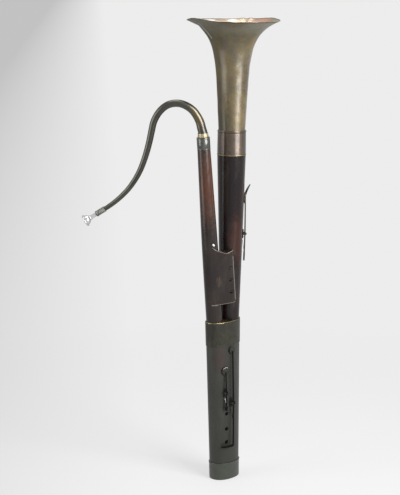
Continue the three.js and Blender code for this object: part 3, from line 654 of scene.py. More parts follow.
# Lines on the bell, as degrees round it from its right-hand tip and millimetres below its rim
LEFT_LIP = [(160, -1), (172, -1), (184, -1), (196, -1), (206, -1)]
RIDGE = [(206.3, 9), (207.5, 15), (209, 22), (210.7, 31), (212.5, 40)]
VALLEY = [(around - VALLEY_TURN, below) for around, below in RIDGE]

# Rubbed, warm and golden places, and painted highlights: spots as centre, size and strength, in metres, and
# lines as points, width and mostly strength, in millimetres
BELL_GOLDEN = ((0.044, -0.055, 1.066), (0.03, 0.03, 0.03))
# Painted glints inside the bell's rim
BELL_GLINTS = [
    ((0.048, 0.097, 1.115), (0.02, 0.02, 0.012), 0.9), ((0.096, 0.074, 1.115), (0.014, 0.014, 0.01), 0.9),
]
# Rubbed golden brass near the crook's collar, painted brighter as a golden highlight
CROOK_GOLDEN_HIGHLIGHT = [((-0.085, 0.014, 0.9), (0.03, 0.03, 0.045), 0.9)]
BUTT_WARM = [((-0.035, -0.02, 0.312), (0.022, 0.022, 0.045), 0.9)]
WING_WARM = [((-0.058, -0.01, 0.745), (0.05, 0.05, 0.13), 1.0)]
WING_WORN = [((-0.042, -0.0235, 0.503), (0.01, 0.01, 0.018), 0.4)]
# A painted highlight on the wing joint's shoulder, and faint painted highlights along the flange's edges
WING_HIGHLIGHTS = [
    ([(-57.4, -18.2, 596.5), (-55.4, -20, 594)], 2.8, 1.0),
    ([(-2, -29.2, 561), (7.4, -29.2, 457)], 2.4, 0.13),
    ([(-54.7, -12.1, 446.3), (-49.5, -17, 446.3), (-42.2, -19.7, 446.6)], 1.8, 0.13),
]
BASS_WARM = [
    ((0.047, -0.018, 0.66), (0.016, 0.016, 0.3), 0.6), ((0.012, -0.03, 0.6), (0.03, 0.03, 0.09), 0.7),
]
# A painted highlight along the upper edge of the shorter key's flap
FLAP_HIGHLIGHT = [([(-31.5, -27.5, 286.3), (-24.6, -30, 290), (-17.2, -31.5, 287.3)], 0.9)]

# How far the wing joint's grain leans, and the colours that aren't in the panel
WING_LEAN = math.radians(-4.87)
DULL_TINT = (0.15, 0.15, 0.14, 1)
OPEN_PORE = (0.004, 0.003, 0.003, 1)
THREAD_DARK, THREAD_RED = (0.09, 0.018, 0.012, 1), (0.22, 0.05, 0.032, 1)
THREAD_DIRT = (0.05, 0.03, 0.02, 1)
LEATHER_DARK, LEATHER_LIGHT = (0.04, 0.026, 0.017, 1), (0.09, 0.06, 0.04, 1)
LEATHER_CELL = (0.06, 0.035, 0.02, 1)
CORK_DARK, CORK_LIGHT = (0.2, 0.11, 0.055, 1), (0.42, 0.27, 0.15, 1)
CORK_PIT = (0.06, 0.03, 0.015, 1)


def on_bell(line):
    """A line on the outside of the bent bell, in millimetres of the world"""
    sizes = bpy.context.scene.horn_sizes
    points = []
    for around, below in line:
        turn = math.radians(around) + RIGHT_OF_VIEW
        height = BELL_RIM - below
        radius = HORN_OT_bell.radius(min(height, BELL_RIM))
        point = Vector((radius * math.cos(turn), radius * math.sin(turn), height))
        moved = HORN_OT_bell.bend(point, sizes.rim_bend, sizes.dent_depth / MM)
        points.append(in_world(BASS, point + moved))
    return points


def bell_brass(name):
    """The bell's outside: olive with grey and golden clouds, dull and with a painted grey-green sheen on
    the left, a painted reflection below the rim, painted shade in its crease's valley with a painted
    highlight on the ridge, and darker along its left lip
    """
    tree, shader, place = new_material(name)
    mask = masks(tree, "Patina masks", place, Scale=0.75, Streak_Length=9.0)
    fine = masks(tree, "Patina masks", place, Scale=2.1, Streak_Length=5.0)
    olive, grey_green, gold, red = shades("bell_olive", "bell_grey", "bell_gold", "bell_red")
    lip, dirt_and_shade, pale = shades("bell_lip", "bell_dirt", "crease_pale")
    left = ranged(tree, along(tree, place, LEFT_OF_VIEW), -0.012, 0.018)
    flare = height_mask(tree, place, 1.03, 1.075)
    colour = mixed(tree, mask["Clouds"], olive, gold)
    colour = tinted(tree, colour, grey_green, height_mask(tree, place, 1.0, 1.09), 0.7)
    # A pale grey-green band just below the rim: a painted reflection
    colour = tinted(tree, colour, lip, height_mask(tree, place, 1.088, 1.102), 0.8)
    # The left side takes a grey-green tint: a painted sheen
    colour = tinted(tree, colour, grey_green, left, 0.65)
    colour = mixed(tree, spot_mask(tree, place, *BELL_GOLDEN), colour, gold)
    for tint, where, share in (
        (gold, mask["Streaks"], 0.4), (red, fine["Clouds"], 0.3), (olive, fine["Mottle"], 0.5),
        (gold, fine["Specks"], 0.4),
    ):
        colour = tinted(tree, colour, tint, where, share)
    # Darker along the left lip, painted shade in the crease's valley and a painted highlight on its ridge
    for tint, line, width, strength in (
        (dirt_and_shade, LEFT_LIP, 4, 0.9), (dirt_and_shade, VALLEY, 5, 0.95), (pale, RIDGE, 3.4, 0.75),
    ):
        colour = mixed(tree, line_mask(tree, place, on_bell(line), width, strength), colour, tint)
    dulled = maths(tree, "MULTIPLY", fine["Mottle"], mask["Streaks"])
    for where, share in ((fine["Specks"], 0.6), (flare, 0.5), (left, 0.8)):
        dulled = maths(tree, "MAXIMUM", dulled, maths(tree, "MULTIPLY", where, share))
    roughness = ranged(tree, dulled, 0, 0.6, 0.32, 0.6)
    coat = ranged(tree, dulled, 0.1, 0.7, 1.0, 0.3)
    feed(tree, shader, Base_Color=colour, Metallic=0.4, Roughness=roughness)
    feed(tree, shader, Coat_Weight=coat, Coat_Roughness=0.3, Coat_IOR=1.75, Specular_Tint=DULL_TINT)
    bumped(tree, shader, maths(tree, "ADD", mask["Mottle"], fine["Mottle"]), 0.3, 0.4)


def bell_inside(name):
    """The bell's inside: cream brass, coppery on the right, olive deep down, with painted glints in two
    places and darker along its left lip
    """
    tree, shader, place = new_material(name)
    mask = masks(tree, "Patina masks", place, Scale=1.2, Streak_Length=1.5)
    cream, red, olive = shades("inside_cream", "inside_red", "bell_grey")
    rightwards = along(tree, place, RIGHT_OF_VIEW_AXIS)
    colour = mixed(tree, ranged(tree, rightwards, 0.055, 0.09), cream, red)
    colour = tinted(tree, colour, red, mask["Mottle"], 0.5)
    colour = tinted(tree, colour, olive, mask["Clouds"], 0.5)
    # Painted glints
    for spot in BELL_GLINTS:
        colour = mixed(tree, spot_mask(tree, place, *spot), colour, shade("inside_white"))
    colour = mixed(tree, ranged(tree, rightwards, 0.106, 0.112), colour, shade("tip_tan"))
    colour = mixed(tree, height_mask(tree, place, 1.07, 1.112), olive, colour)
    # Darker along the left lip
    colour = mixed(tree, line_mask(tree, place, on_bell(LEFT_LIP), 4, 0.9), colour, shade("bell_dirt"))
    roughness = ranged(tree, mask["Mottle"], 0, 1, 0.22, 0.4)
    feed(tree, shader, Base_Color=colour, Metallic=0.75, Roughness=roughness)
    bumped(tree, shader, maths(tree, "ADD", mask["Mottle"], mask["Clouds"]), 0.35, 0.6)


def thread_wrap(name):
    tree, shader, place = new_material(name)
    inputs = {"Vector": place, "Scale": 900.0, "Distortion": 1.5, "Detail": 2.0}
    strands = node(tree, "ShaderNodeTexWave", inputs, bands_direction="DIAGONAL").outputs["Fac"]
    dirt_and_shade = noise_value(tree, place, 160, 4)
    colour = mixed(tree, strands, THREAD_DARK, THREAD_RED)
    colour = mixed(tree, ranged(tree, dirt_and_shade, 0.5, 0.75), colour, THREAD_DIRT)
    roughness = ranged(tree, dirt_and_shade, 0.3, 0.7, 0.7, 0.9)
    feed(tree, shader, Base_Color=colour, Roughness=roughness, Sheen_Weight=0.2)
    bumped(tree, shader, strands, 0.5, 0.1)


def pad_leather(name):
    tree, shader, place = new_material(name)
    cells = cell_distance(tree, place, 1500)
    stain = noise_value(tree, place, 260, 4)
    colour = mixed(tree, stain, LEATHER_DARK, LEATHER_LIGHT)
    colour = mixed(tree, ranged(tree, cells, 0.3, 0.7, 0, 0.5), colour, LEATHER_CELL)
    feed(tree, shader, Base_Color=colour, Roughness=ranged(tree, stain, 0.3, 0.7, 0.6, 0.85))
    bumped(tree, shader, cells, 0.4, 0.1)


def foot_cork(name):
    tree, shader, place = new_material(name)
    cells = cell_distance(tree, place, 700)
    dark = noise_value(tree, place, 240, 5)
    colour = mixed(tree, cells, CORK_DARK, CORK_LIGHT)
    colour = mixed(tree, ranged(tree, dark, 0.55, 0.7), colour, CORK_PIT)
    feed(tree, shader, Base_Color=colour, Roughness=ranged(tree, dark, 0.3, 0.7, 0.75, 0.95))
    bumped(tree, shader, cells, 0.5, 0.2)


def finish(name):
    """The material of a name, made when it is first asked for"""
    if name not in bpy.data.materials:
        FINISHES[name](name)
    return bpy.data.materials[name]


def metal(*colours, **values):
    return lambda name: old_metal(name, *shades(*colours), **values)


def wood(*colours, **values):
    return lambda name: stained_wood(name, *shades(*colours), **values)


FINISHES = {
    "Bell brass": bell_brass,
    "Bell inside": bell_inside,
    "Waxed thread": thread_wrap,
    "Pad leather": pad_leather,
    "Foot cork": foot_cork,
    "Butt wood": wood(
        "butt_black", "butt_red", "butt_wear", warm_share=0.15, rough=(0.38, 0.52), gloss=0.38,
        warm_spots=BUTT_WARM,
    ),
    "Wing wood": wood(
        "wing_black", "wing_red", "wing_wear", lean=WING_LEAN, warm_share=0.12, wear_share=0.12,
        rough=(0.14, 0.32), gloss=0.42, warm_spots=WING_WARM, worn_spots=WING_WORN, pale_lines=WING_HIGHLIGHTS,
    ),
    "Bass wood": wood(
        "bass_black", "bass_red", "bass_wear", warm_share=0.2, rough=(0.14, 0.42), gloss=0.26,
        warm_spots=BASS_WARM,
    ),
    "Rubbed wood": wood("wing_wear", "rubbed_wood", "rubbed_wood", rough=(0.2, 0.3), gloss=1.0),
    "Band brass": metal(
        "band_dark", "band_olive", "band_light", rough=(0.4, 0.55), metallic=0.4, streak=2.0, fleck=0.15
    ),
    "Shoe brass": metal("shoe_dark", "shoe_grey", "shoe_grey", rough=(0.4, 0.55), metallic=0.3, streak=2.0),
    "Wing band": metal(
        "shoe_dark", "shoe_grey", "silver_grey", rough=(0.22, 0.36), metallic=0.7, veil=1.0, fleck=0.1
    ),
    "Top brass": metal("band_olive", "top_olive", "rubbed_brass", rough=(0.35, 0.5)),
    "Rubbed brass": metal("band_light", "rubbed_brass", "bright_brass", rough=(0.25, 0.4)),
    "Crook brass": metal(
        "crook_dark", "crook_olive", "crook_light", rough=(0.26, 0.36), scale=0.7, streak=1.0, veil=0.9,
        light_spots=CROOK_GOLDEN_HIGHLIGHT, fleck=0.03, bump=0.01, edge=0.2,
    ),
    "Rim brass": metal("rim_brown", "rim_brown", "bell_lip", rough=(0.4, 0.55), veil=0.3),
    "Collar brass": metal("collar_dull", "cream_brass", "cream_brass", rough=(0.35, 0.5)),
    "Ring brass": metal("band_light", "rubbed_brass", "bright_brass", rough=(0.3, 0.45)),
    "Sleeve copper": metal(
        "copper_dark", "copper_brown", "copper_light", rough=(0.32, 0.46), streak=3.0, veil=1.0, edge=0.2
    ),
    "Receiver brass": metal("crook_dark", "receiver_grey", "shoe_grey", scale=3.0),
    "Mouthpiece silver": metal(
        "silver", "silver", "silver", rough=(0.16, 0.26), metallic=0.7, bump=0.01, veil=0.3, edge=0.08
    ),
    "Key brass": metal("band_dark", "key_olive", "band_light", rough=(0.3, 0.45), scale=2.0),
    "Black key": metal(
        "key_black", "key_brown", "key_brown", rough=(0.35, 0.5), scale=2.0, metallic=0.7, veil=0.0
    ),
    "Flap metal": metal(
        "butt_black", "butt_black", "butt_wear", rough=(0.45, 0.6), scale=2.0, metallic=0.2, veil=0.0,
        fleck=0.15, worn_lines=FLAP_HIGHLIGHT,
    ),
    "Old steel": metal("steel_dark", "steel", "silver_grey", rough=(0.25, 0.45), scale=2.0),
}


# Pieces shared by several operators
def wound_thread(name, body, node_name, inside, outside, low, high, place):
    """A tenon's thread winding: a sleeve whose outside has one ridge for each turn of the thread"""
    pitch = bpy.context.scene.horn_sizes.thread_pitch / MM
    turns = round((high - low) / pitch)
    crest = (high - low) / turns
    outline = [(inside, high), (inside, low)]
    for i in range(turns):
        foot = low + i * crest
        for depth, share in ((0.25, 0), (0.04, 0.25), (0, 0.5), (0.04, 0.75)):
            outline.append((outside - depth, foot + crest * share))
    outline.append((outside - 0.25, high))
    add_piece(name, lathe(outline, place, 64), body, [node_name], ["Waxed thread"], bevel=0)


def finger_hole(mouth, target, radius):
    """The cutter for a finger hole, which starts a few millimetres outside the wood"""
    clearance = (mouth - target).normalized() * 4
    return rod(mouth + clearance, target, radius, sides=36)


def flap_frame(key, reach):
    """A frame on the lever's line whose Z axis is the lift off the wood and whose Y axis runs along it"""
    return key["frame"] @ Matrix.Translation((0, 0, reach * MM)) @ Matrix.Rotation(QUARTER_TURN, 4, "X")


def oblong(outline, place, stretch, steps=48):
    """A turned form whose two halves are drawn apart along Y"""
    shape = lathe(outline, Matrix.Identity(4), steps)
    for vert in shape.verts:
        if abs(vert.co.y) > WELD:
            vert.co.y += math.copysign(stretch * MM, vert.co.y)
    shape.transform(place)
    return shape


def key_flap(key):
    """The flap: a shallow cup with a raised rim and a rivet in its middle"""
    low, radius = key["flap_foot"], key["flap_radius"]
    outline = [
        (0, low + 0.5), (radius - 1.3, low + 0.5), (radius - 1, low), (radius - 0.25, low),
        (radius, low + 0.3), (radius, low + 1.5), (radius - 0.5, low + 1.9), (radius - 1.4, low + 1.9),
        (radius * 0.55, low + 2.6), (3, low + 3), (2.6, low + 3.5), (1.5, low + 3.8), (0, low + 3.9),
    ]
    return oblong(outline, flap_frame(key, key["flap_reach"]), key["flap_stretch"])


def key_lever(key):
    """The lever: a bar that rises from the flap over the pivot and runs out to the touch"""
    lift, width = key["pivot_lift"], key["width"] / 2
    flap, touch = key["flap_reach"], key["touch_reach"]
    flap_face = key["flap_foot"] + 2.4
    near_edge = flap - key["flap_radius"] - key["flap_stretch"]
    path = [
        (flap + 2, flap_face), (near_edge + 3, flap_face + 0.2), (near_edge - 3, flap_face + 0.6),
        (near_edge * 0.5, (flap_face + lift) / 2 + 0.4), (3, lift), (-6, lift), (-touch * 0.55, lift + 0.3),
        (-touch, lift),
    ]
    widths = [width * share for share in (0.9, 0.9, 0.8, 0.85, 1.1, 1, 0.8, 1)]
    steps, last = 4, len(widths) - 1
    points = smooth([(0, -height, reach) for reach, height in path], steps)
    spread = []
    for i in range(len(points)):
        start, end = widths[min(i // steps, last)], widths[min(i // steps + 1, last)]
        spread.append(start + (end - start) * (i % steps) / steps)
    shape = swept(along_path(points, (1, 0, 0), spread, [key["thickness"] / 2] * len(points)), 12, power=3)
    shape.transform(key["frame"])
    return shape


def key_boss(key):
    """The barrel that turns on the pin, waisted in its middle"""
    half = [(2.9, 1.3), (3.4, 1.7), (3.4, 2.5), (3.2, 2.9), (1.35, 2.9)]
    outline = [(radius, -reach) for radius, reach in reversed(half)] + half
    pivot = Matrix.Translation((0, -key["pivot_lift"] * MM, 0))
    return lathe(outline, key["frame"] @ pivot @ Matrix.Rotation(QUARTER_TURN, 4, "Y"), 32)


def key_touch(key):
    """The touch: a smooth oblong button with rounded shoulders"""
    lift, radius = key["pivot_lift"], key["touch_radius"]
    outline = [
        (0, lift - 1.2), (radius - 0.8, lift - 1.2), (radius, lift - 0.4), (radius, lift + 0.6),
        (radius - 0.7, lift + 1.3), (radius * 0.4, lift + 1.7), (0, lift + 1.8),
    ]
    return oblong(outline, flap_frame(key, -key["touch_reach"]), key["touch_stretch"], 36)


def key_pad(name, key, body):
    """The pad: leather over felt, crowned a little towards its seat"""
    low, radius = key["pad_foot"], key["flap_radius"] - 1.5
    outline = [
        (0, low + 0.1), (radius * 0.45, low + 0.1), (radius - 0.9, low), (radius - 0.25, low + 0.5),
        (radius, low + 1.3), (radius - 0.2, low + 2.2), (radius - 0.6, low + 2.6), (0, low + 2.6),
    ]
    shape = oblong(outline, flap_frame(key, key["flap_reach"]), key["flap_stretch"])
    add_piece(name, shape, body, [name], ["Pad leather"], bevel=0.15)


# The keys' frames and sizes, in millimetres: reaches run from the pivot, feet and lifts from the wood
KEYS = {
    "key_a": {
        "frame": KEY_A, "flap_reach": 55, "flap_radius": 10, "flap_stretch": 0, "flap_foot": 2.4,
        "pad_foot": -0.5, "pivot_lift": 7.6, "width": 3.6, "thickness": 2.5,
        "touch_reach": 38, "touch_radius": 3.6, "touch_stretch": 3,
    },
    "key_b": {
        "frame": KEY_B, "flap_reach": 133, "flap_radius": 9, "flap_stretch": 0, "flap_foot": 2.6,
        "pad_foot": -0.3, "pivot_lift": 8.6, "width": 5.2, "thickness": 2.5, "touch_reach": 108,
    },
    "thumb_key": {
        "frame": KEY_THUMB, "flap_reach": 87, "flap_radius": 10, "flap_stretch": 3.5, "flap_foot": 1.6,
        "pad_foot": -1.3, "pivot_lift": 6.6, "width": 4.2, "thickness": 3.2,
        "touch_reach": 54, "touch_radius": 4.4, "touch_stretch": 9,
    },
}


def seat_and_tone_hole(key_name, seat_depth, hole_radius, target):
    """The cutters for a pad's flat seat and for the tone hole below it"""
    key = KEYS[key_name]
    place = flap_frame(key, key["flap_reach"])
    radius = key["flap_radius"] + 0.3
    outline = [(0, -seat_depth), (radius, -seat_depth), (radius, 8), (0, 8)]
    seat = oblong(outline, place, key["flap_stretch"])
    return [seat, rod(in_world(place, (0, 0, 3)), target, hole_radius, sides=32)]


def bore_point(foot, top, height):
    """The middle of a bore at a height"""
    foot, top = Vector(foot), Vector(top)
    return foot.lerp(top, (height - foot.z) / (top.z - foot.z))


class HornSizes(bpy.types.PropertyGroup):
    thread_pitch: bpy.props.FloatProperty(
        name="Thread pitch", description="Height of one turn of the thread on the tenons", default=0.8 * MM,
        min=0.0003, max=0.003, subtype="DISTANCE", unit="LENGTH",
    )
    rim_bend: bpy.props.FloatProperty(
        name="Rim bend", description="How strongly the bell's rim is bent: 1 is as found, 0 is true",
        default=1.0, min=0.0, max=1.5, subtype="FACTOR",
    )
    dent_depth: bpy.props.FloatProperty(
        name="Dent depth", description="Depth of the shallow dents in the bell's wall", default=0.7 * MM,
        min=0.0, max=0.004, subtype="DISTANCE", unit="LENGTH",
    )
    wood_edge: bpy.props.FloatProperty(
        name="Wood edge", description="Width of the rounding on the flange's edges", default=1.3 * MM,
        min=0.0001, max=0.003, subtype="DISTANCE", unit="LENGTH",
    )


# The panel's colours, with what each is for
COLOURS = {
    "bell_olive": ("Dark olive of the bell's patina", (0.042, 0.036, 0.018)),
    # Grey-green clouds, and also the painted sheen on the bell's left side
    "bell_grey": ("Grey-green clouds on the bell", (0.055, 0.055, 0.034)),
    "rim_brown": ("Olive brown of the bell's rim", (0.085, 0.068, 0.036)),
    # Painted shade in the bell's crease, also used to darken its left lip
    "bell_dirt": ("Dirt in the bell's crease and on its left lip", (0.012, 0.012, 0.009)),
    # Painted highlight on the ridge of the bell's crease
    "crease_pale": ("Rubbed ridge of the bell's crease", (0.42, 0.43, 0.38)),
    "tip_tan": ("Tan olive of the rim's right tip", (0.25, 0.21, 0.125)),
    # Painted glints inside the rim
    "inside_white": ("Brightest places inside the rim", (0.8, 0.77, 0.72)),
    # A painted reflection below the bell's rim, and the light flecks of the rim itself
    "bell_lip": ("Pale grey-green below the bell's rim", (0.15, 0.155, 0.115)),
    "bell_gold": ("Rubbed golden streaks on the bell", (0.175, 0.125, 0.038)),
    "bell_red": ("Reddish patches on the bell", (0.1, 0.055, 0.038)),
    "inside_cream": ("Bright brass inside the rim", (0.6, 0.5, 0.37)),
    "inside_red": ("Coppery brass inside the rim's right side", (0.52, 0.28, 0.19)),
    "butt_black": ("Stain of the butt", (0.019, 0.02, 0.016)),
    "butt_red": ("Thin stain of the butt", (0.028, 0.012, 0.008)),
    "butt_wear": ("Rubbed stain of the butt", (0.055, 0.054, 0.043)),
    "wing_black": ("Stain of the wing joint", (0.009, 0.006, 0.005)),
    "wing_red": ("Mahogany red of the wing joint", (0.072, 0.023, 0.011)),
    "wing_wear": ("Rubbed stain of the wing joint", (0.13, 0.085, 0.055)),
    "bass_black": ("Stain of the bass joint", (0.006, 0.006, 0.007)),
    "bass_red": ("Thin stain of the bass joint", (0.055, 0.016, 0.009)),
    "bass_wear": ("Rubbed stain of the bass joint", (0.07, 0.05, 0.04)),
    "rubbed_wood": ("Bare wood on rubbed edges", (0.26, 0.24, 0.21)),
    # Painted highlights on the wing joint's shoulder and along the flange's edges
    "bare_edge": ("Palest places of the wing joint's shoulder", (0.85, 0.84, 0.82)),
    "band_dark": ("Dark patina of the bands", (0.012, 0.012, 0.008)),
    "band_olive": ("Olive patina of the bands", (0.022, 0.021, 0.013)),
    "shoe_grey": ("Grey-green patina of the butt's cap", (0.058, 0.062, 0.05)),
    "shoe_dark": ("Darker clouds of the butt's cap", (0.042, 0.045, 0.036)),
    "band_light": ("Rubbed places of the bands", (0.12, 0.105, 0.065)),
    "top_olive": ("Olive brass on top of the butt", (0.14, 0.12, 0.05)),
    "rubbed_brass": ("Brass on rubbed edges", (0.42, 0.32, 0.17)),
    "bright_brass": ("Clean yellow brass", (0.62, 0.46, 0.2)),
    "cream_brass": ("Pale brass of the crook's collar", (0.6, 0.52, 0.34)),
    "collar_dull": ("Dull places of the crook's collar", (0.25, 0.21, 0.125)),
    "crook_dark": ("Dark patina of the crook", (0.03, 0.028, 0.02)),
    "crook_olive": ("Olive patina of the crook", (0.062, 0.062, 0.046)),
    # Golden flecks of the crook, and its painted golden highlight near the collar
    "crook_light": ("Golden places of the crook", (0.125, 0.096, 0.043)),
    "receiver_grey": ("Dull metal of the mouthpiece receiver", (0.34, 0.345, 0.305)),
    "copper_dark": ("Dark brown of the sleeve", (0.046, 0.037, 0.03)),
    "copper_brown": ("Copper brown of the sleeve", (0.092, 0.065, 0.046)),
    "copper_light": ("Rubbed copper of the sleeve", (0.2, 0.13, 0.085)),
    "silver": ("Clean silver of the mouthpiece", (0.5, 0.5, 0.51)),
    "silver_grey": ("Tarnished silver", (0.5, 0.49, 0.48)),
    "key_olive": ("Olive brass of the thumb key", (0.036, 0.034, 0.023)),
    # Painted highlight along the upper edge of the shorter key's flap
    "flap_worn": ("Rubbed upper edge of the shorter key's flap", (0.5, 0.5, 0.44)),
    "key_black": ("Black patina of the butt's keys", (0.003, 0.003, 0.003)),
    "key_brown": ("Brown patina of the butt's keys", (0.009, 0.008, 0.006)),
    "steel_dark": ("Rust-dark steel", (0.012, 0.011, 0.01)),
    "steel": ("Steel of pins, screws and springs", (0.04, 0.039, 0.037)),
}


def colour_property(name, description, value):
    label = name.replace("_", " ").capitalize()
    return bpy.props.FloatVectorProperty(
        name=label, description=description, default=value, size=3, min=0.0, max=1.0, subtype="COLOR"
    )


class HornColours(bpy.types.PropertyGroup):
    __annotations__ = {name: colour_property(name, *values) for name, values in COLOURS.items()}


class HORN_OT_butt(bpy.types.Operator):
    """Build the oval butt with its two sockets, finger holes, ferrule and cap"""

    bl_idname = "horn.butt"
    bl_label = "Butt"

    def execute(self, context):
        down_foot, up_foot = (-20.5, 0, 23.3), (12.39, 0, 23.3)
        wing_floor, bass_floor = in_world(WING, (0, 0, -30.3)), in_world(BASS, (0, 0, -32.3))
        wing_mouth, bass_mouth = in_world(WING, (0, 0, 5)), in_world(BASS, (0, 0, 5))
        cutters = [
            rod(wing_mouth, in_world(WING, (0, 0, -0.3)), 20.3, sides=72),
            rod(bass_mouth, in_world(BASS, (0, 0, -0.3)), 23.5, sides=72),
            rod(wing_mouth, wing_floor, 17.8, sides=72),
            rod(bass_mouth, bass_floor, 20.7, sides=72),
            rod(in_world(WING, (0, 0, 0)), down_foot, 13.4, 13.2, sides=56),
            rod(in_world(BASS, (0, 0, 0)), up_foot, 16, 14.8, sides=56),
        ]
        hole_x, hole_slant, hole_radius = -18, 10, 4.5
        for share in (0.425, 0.328, 0.244):
            height = share * BUTT_HEIGHT
            mouth = Vector((hole_x, oval_front(hole_x, height), height))
            target = bore_point(down_foot, wing_floor, height - hole_slant)
            cutters.append(finger_hole(mouth, target, hole_radius))
        cutters += seat_and_tone_hole("key_a", 0.8, 5.5, bore_point(down_foot, wing_floor, 280))
        cutters += seat_and_tone_hole("key_b", 0.6, 5, bore_point(up_foot, bass_floor, 330))
        block = oval_turned([(None, 1.8), (0, 1.8), (0, BUTT_HEIGHT), (None, BUTT_HEIGHT)])
        butt = combined(block, cutters)
        top = (BUTT_HEIGHT - 0.2) * MM
        give_faces(butt, 1, lambda face: face.calc_center_median().z > top and face.normal.z > 0.9)
        add_piece(
            "butt_wood", butt, "butt", ["butt_joint"], ["Butt wood", "Top brass"], bevel=0.4
        )
        band = oval_turned([
            (0.3, 342), (0.9, 342), (1.2, 342.3), (1.2, 344.6), (0.95, 344.9), (0.95, 345.3),
            (1.2, 345.6), (1.2, 398.6), (0.95, 398.9), (0.95, 399.3), (1.2, 399.6), (1.2, 400.9),
            (1.1, 401.4), (0.8, 401.8), (0.3, 402),
        ])
        give_faces(band, 1, lambda face: face.calc_center_median().z > (BUTT_HEIGHT - 1) * MM)
        add_piece(
            "butt_band", band, "butt", ["butt_ferrule"], ["Band brass", "Rubbed brass"],
            bevel=0.15,
        )
        shoe = oval_turned([
            (None, 0), (-1.4, 0), (0.5, 0.35), (1.2, 1.4), (1.2, 39.8), (1.25, 40.6), (1.75, 40.9),
            (1.95, 41.5), (1.95, 42.2), (1.7, 42.8), (1.2, 43), (0.3, 43), (0.3, 1.5), (None, 1.5),
        ])
        add_piece("butt_shoe", shoe, "butt", ["butt_cap"], ["Shoe brass"], bevel=0.15)
        return {"FINISHED"}


class HORN_OT_wing(bpy.types.Operator):
    """Build the wing joint with its flange, finger holes, top ferrule and thread"""

    bl_idname = "horn.wing"
    bl_label = "Wing joint"

    def execute(self, context):
        side = smooth([(20, 0, 0), (19.9, 60, 0), (19.3, 196, 0), (17.6, 300, 0), (15.4, 425.7, 0)], 5)
        tube = lathe(
            [(0, -30), (16.4, -30), (16.4, 0), *[(point.x, point.y) for point in side], (14.5, 425.7),
             (14.5, 454), (0, 454)],
            Matrix.Identity(4),
            112,
        )
        nest = rod((0, 0, 0), (0, 0, 405), 24.2, 35.3, sides=96)
        nest.transform(WING.inverted() @ BASS)
        flange = combined(self.flange(context.scene.horn_sizes.wood_edge), [nest])
        cutters = [
            rod((0, 0, -34), (0, 0, 422), 13.4, 8.8, sides=64),
            rod((0, 0, 458), (0, 0, 422), 10.8, sides=64),
        ]
        middle_hole, hole_spacing, hole_slant, hole_radius = 102.5, 29.6, 8, 4
        for step in (1, 0, -1):
            height = middle_hole + step * hole_spacing
            mouth, target = Vector((37.5, -29.5, height)), Vector((0, 0, height + step * hole_slant))
            cutters.append(finger_hole(mouth, target, hole_radius))
        joint = combined(tube, cutters, [flange])
        joint.transform(WING)
        add_piece(
            "wing_wood", joint, "wing", ["wing_joint"], ["Wing wood", "Rubbed wood"], bevel=0,
            crease=SOFT_EDGE_ANGLE,
        )
        band = lathe([
            (14.8, 426), (15.5, 426), (15.8, 426.3), (15.8, 428), (15.45, 428.5), (15.45, 429.3),
            (15.7, 429.8), (15.7, 449.5), (15.45, 450), (15.45, 450.8), (15.8, 451.3), (15.8, 453.5),
            (15.5, 454), (14.8, 454),
        ], WING)
        add_piece("wing_band", band, "wing", ["wing_ferrule"], ["Wing band"], bevel=0.12)
        wound_thread("wing_thread", "wing", "wing_lapping", 16.7, 17.5, -27, -3, WING)
        return {"FINISHED"}

    @staticmethod
    def flange(edge_width):
        """The flange as a front face pushed back, with rounded, rubbed edges"""
        reach, front, left_end, back = 49, 29.5, -12, 5
        shoulder, shoulder_rise, foot, foot_fall, corner = 170.5, 22.5, 47, 3.5, 7
        plan = smooth([(x * reach, y * front, 0) for x, y in FLANGE_PLAN], 6)
        ledge = smooth([(x * reach, shoulder + y * shoulder_rise, 0) for x, y in FLANGE_LEDGE], 6)
        shape = bmesh.new()
        bmesh.ops.create_grid(shape, x_segments=26, y_segments=32, size=0.5)
        for vert in shape.verts:
            x = left_end + (vert.co.x + 0.5) * (reach - left_end)
            rise = corner - math.sqrt(max(corner**2 - max(x - (reach - corner), 0) ** 2, 0))
            low, high = foot - foot_fall * x / reach + rise, height_on(ledge, x)
            vert.co = Vector((x, -height_on(plan, x), low + (vert.co.y + 0.5) * (high - low))) * MM
        grown = bmesh.ops.extrude_face_region(shape, geom=list(shape.faces), use_keep_orig=True)["geom"]
        for vert in verts_of(grown):
            vert.co.y = back * MM
        bmesh.ops.recalc_face_normals(shape, faces=shape.faces)
        rim = [edge for edge in shape.edges if on_flange_rim(edge, left_end, back)]
        rounded = bmesh.ops.bevel(
            shape, geom=rim, offset=edge_width, segments=3, profile=0.5, affect="EDGES", material=-1
        )["faces"]
        for face in rounded:
            face.material_index = 1
        return shape


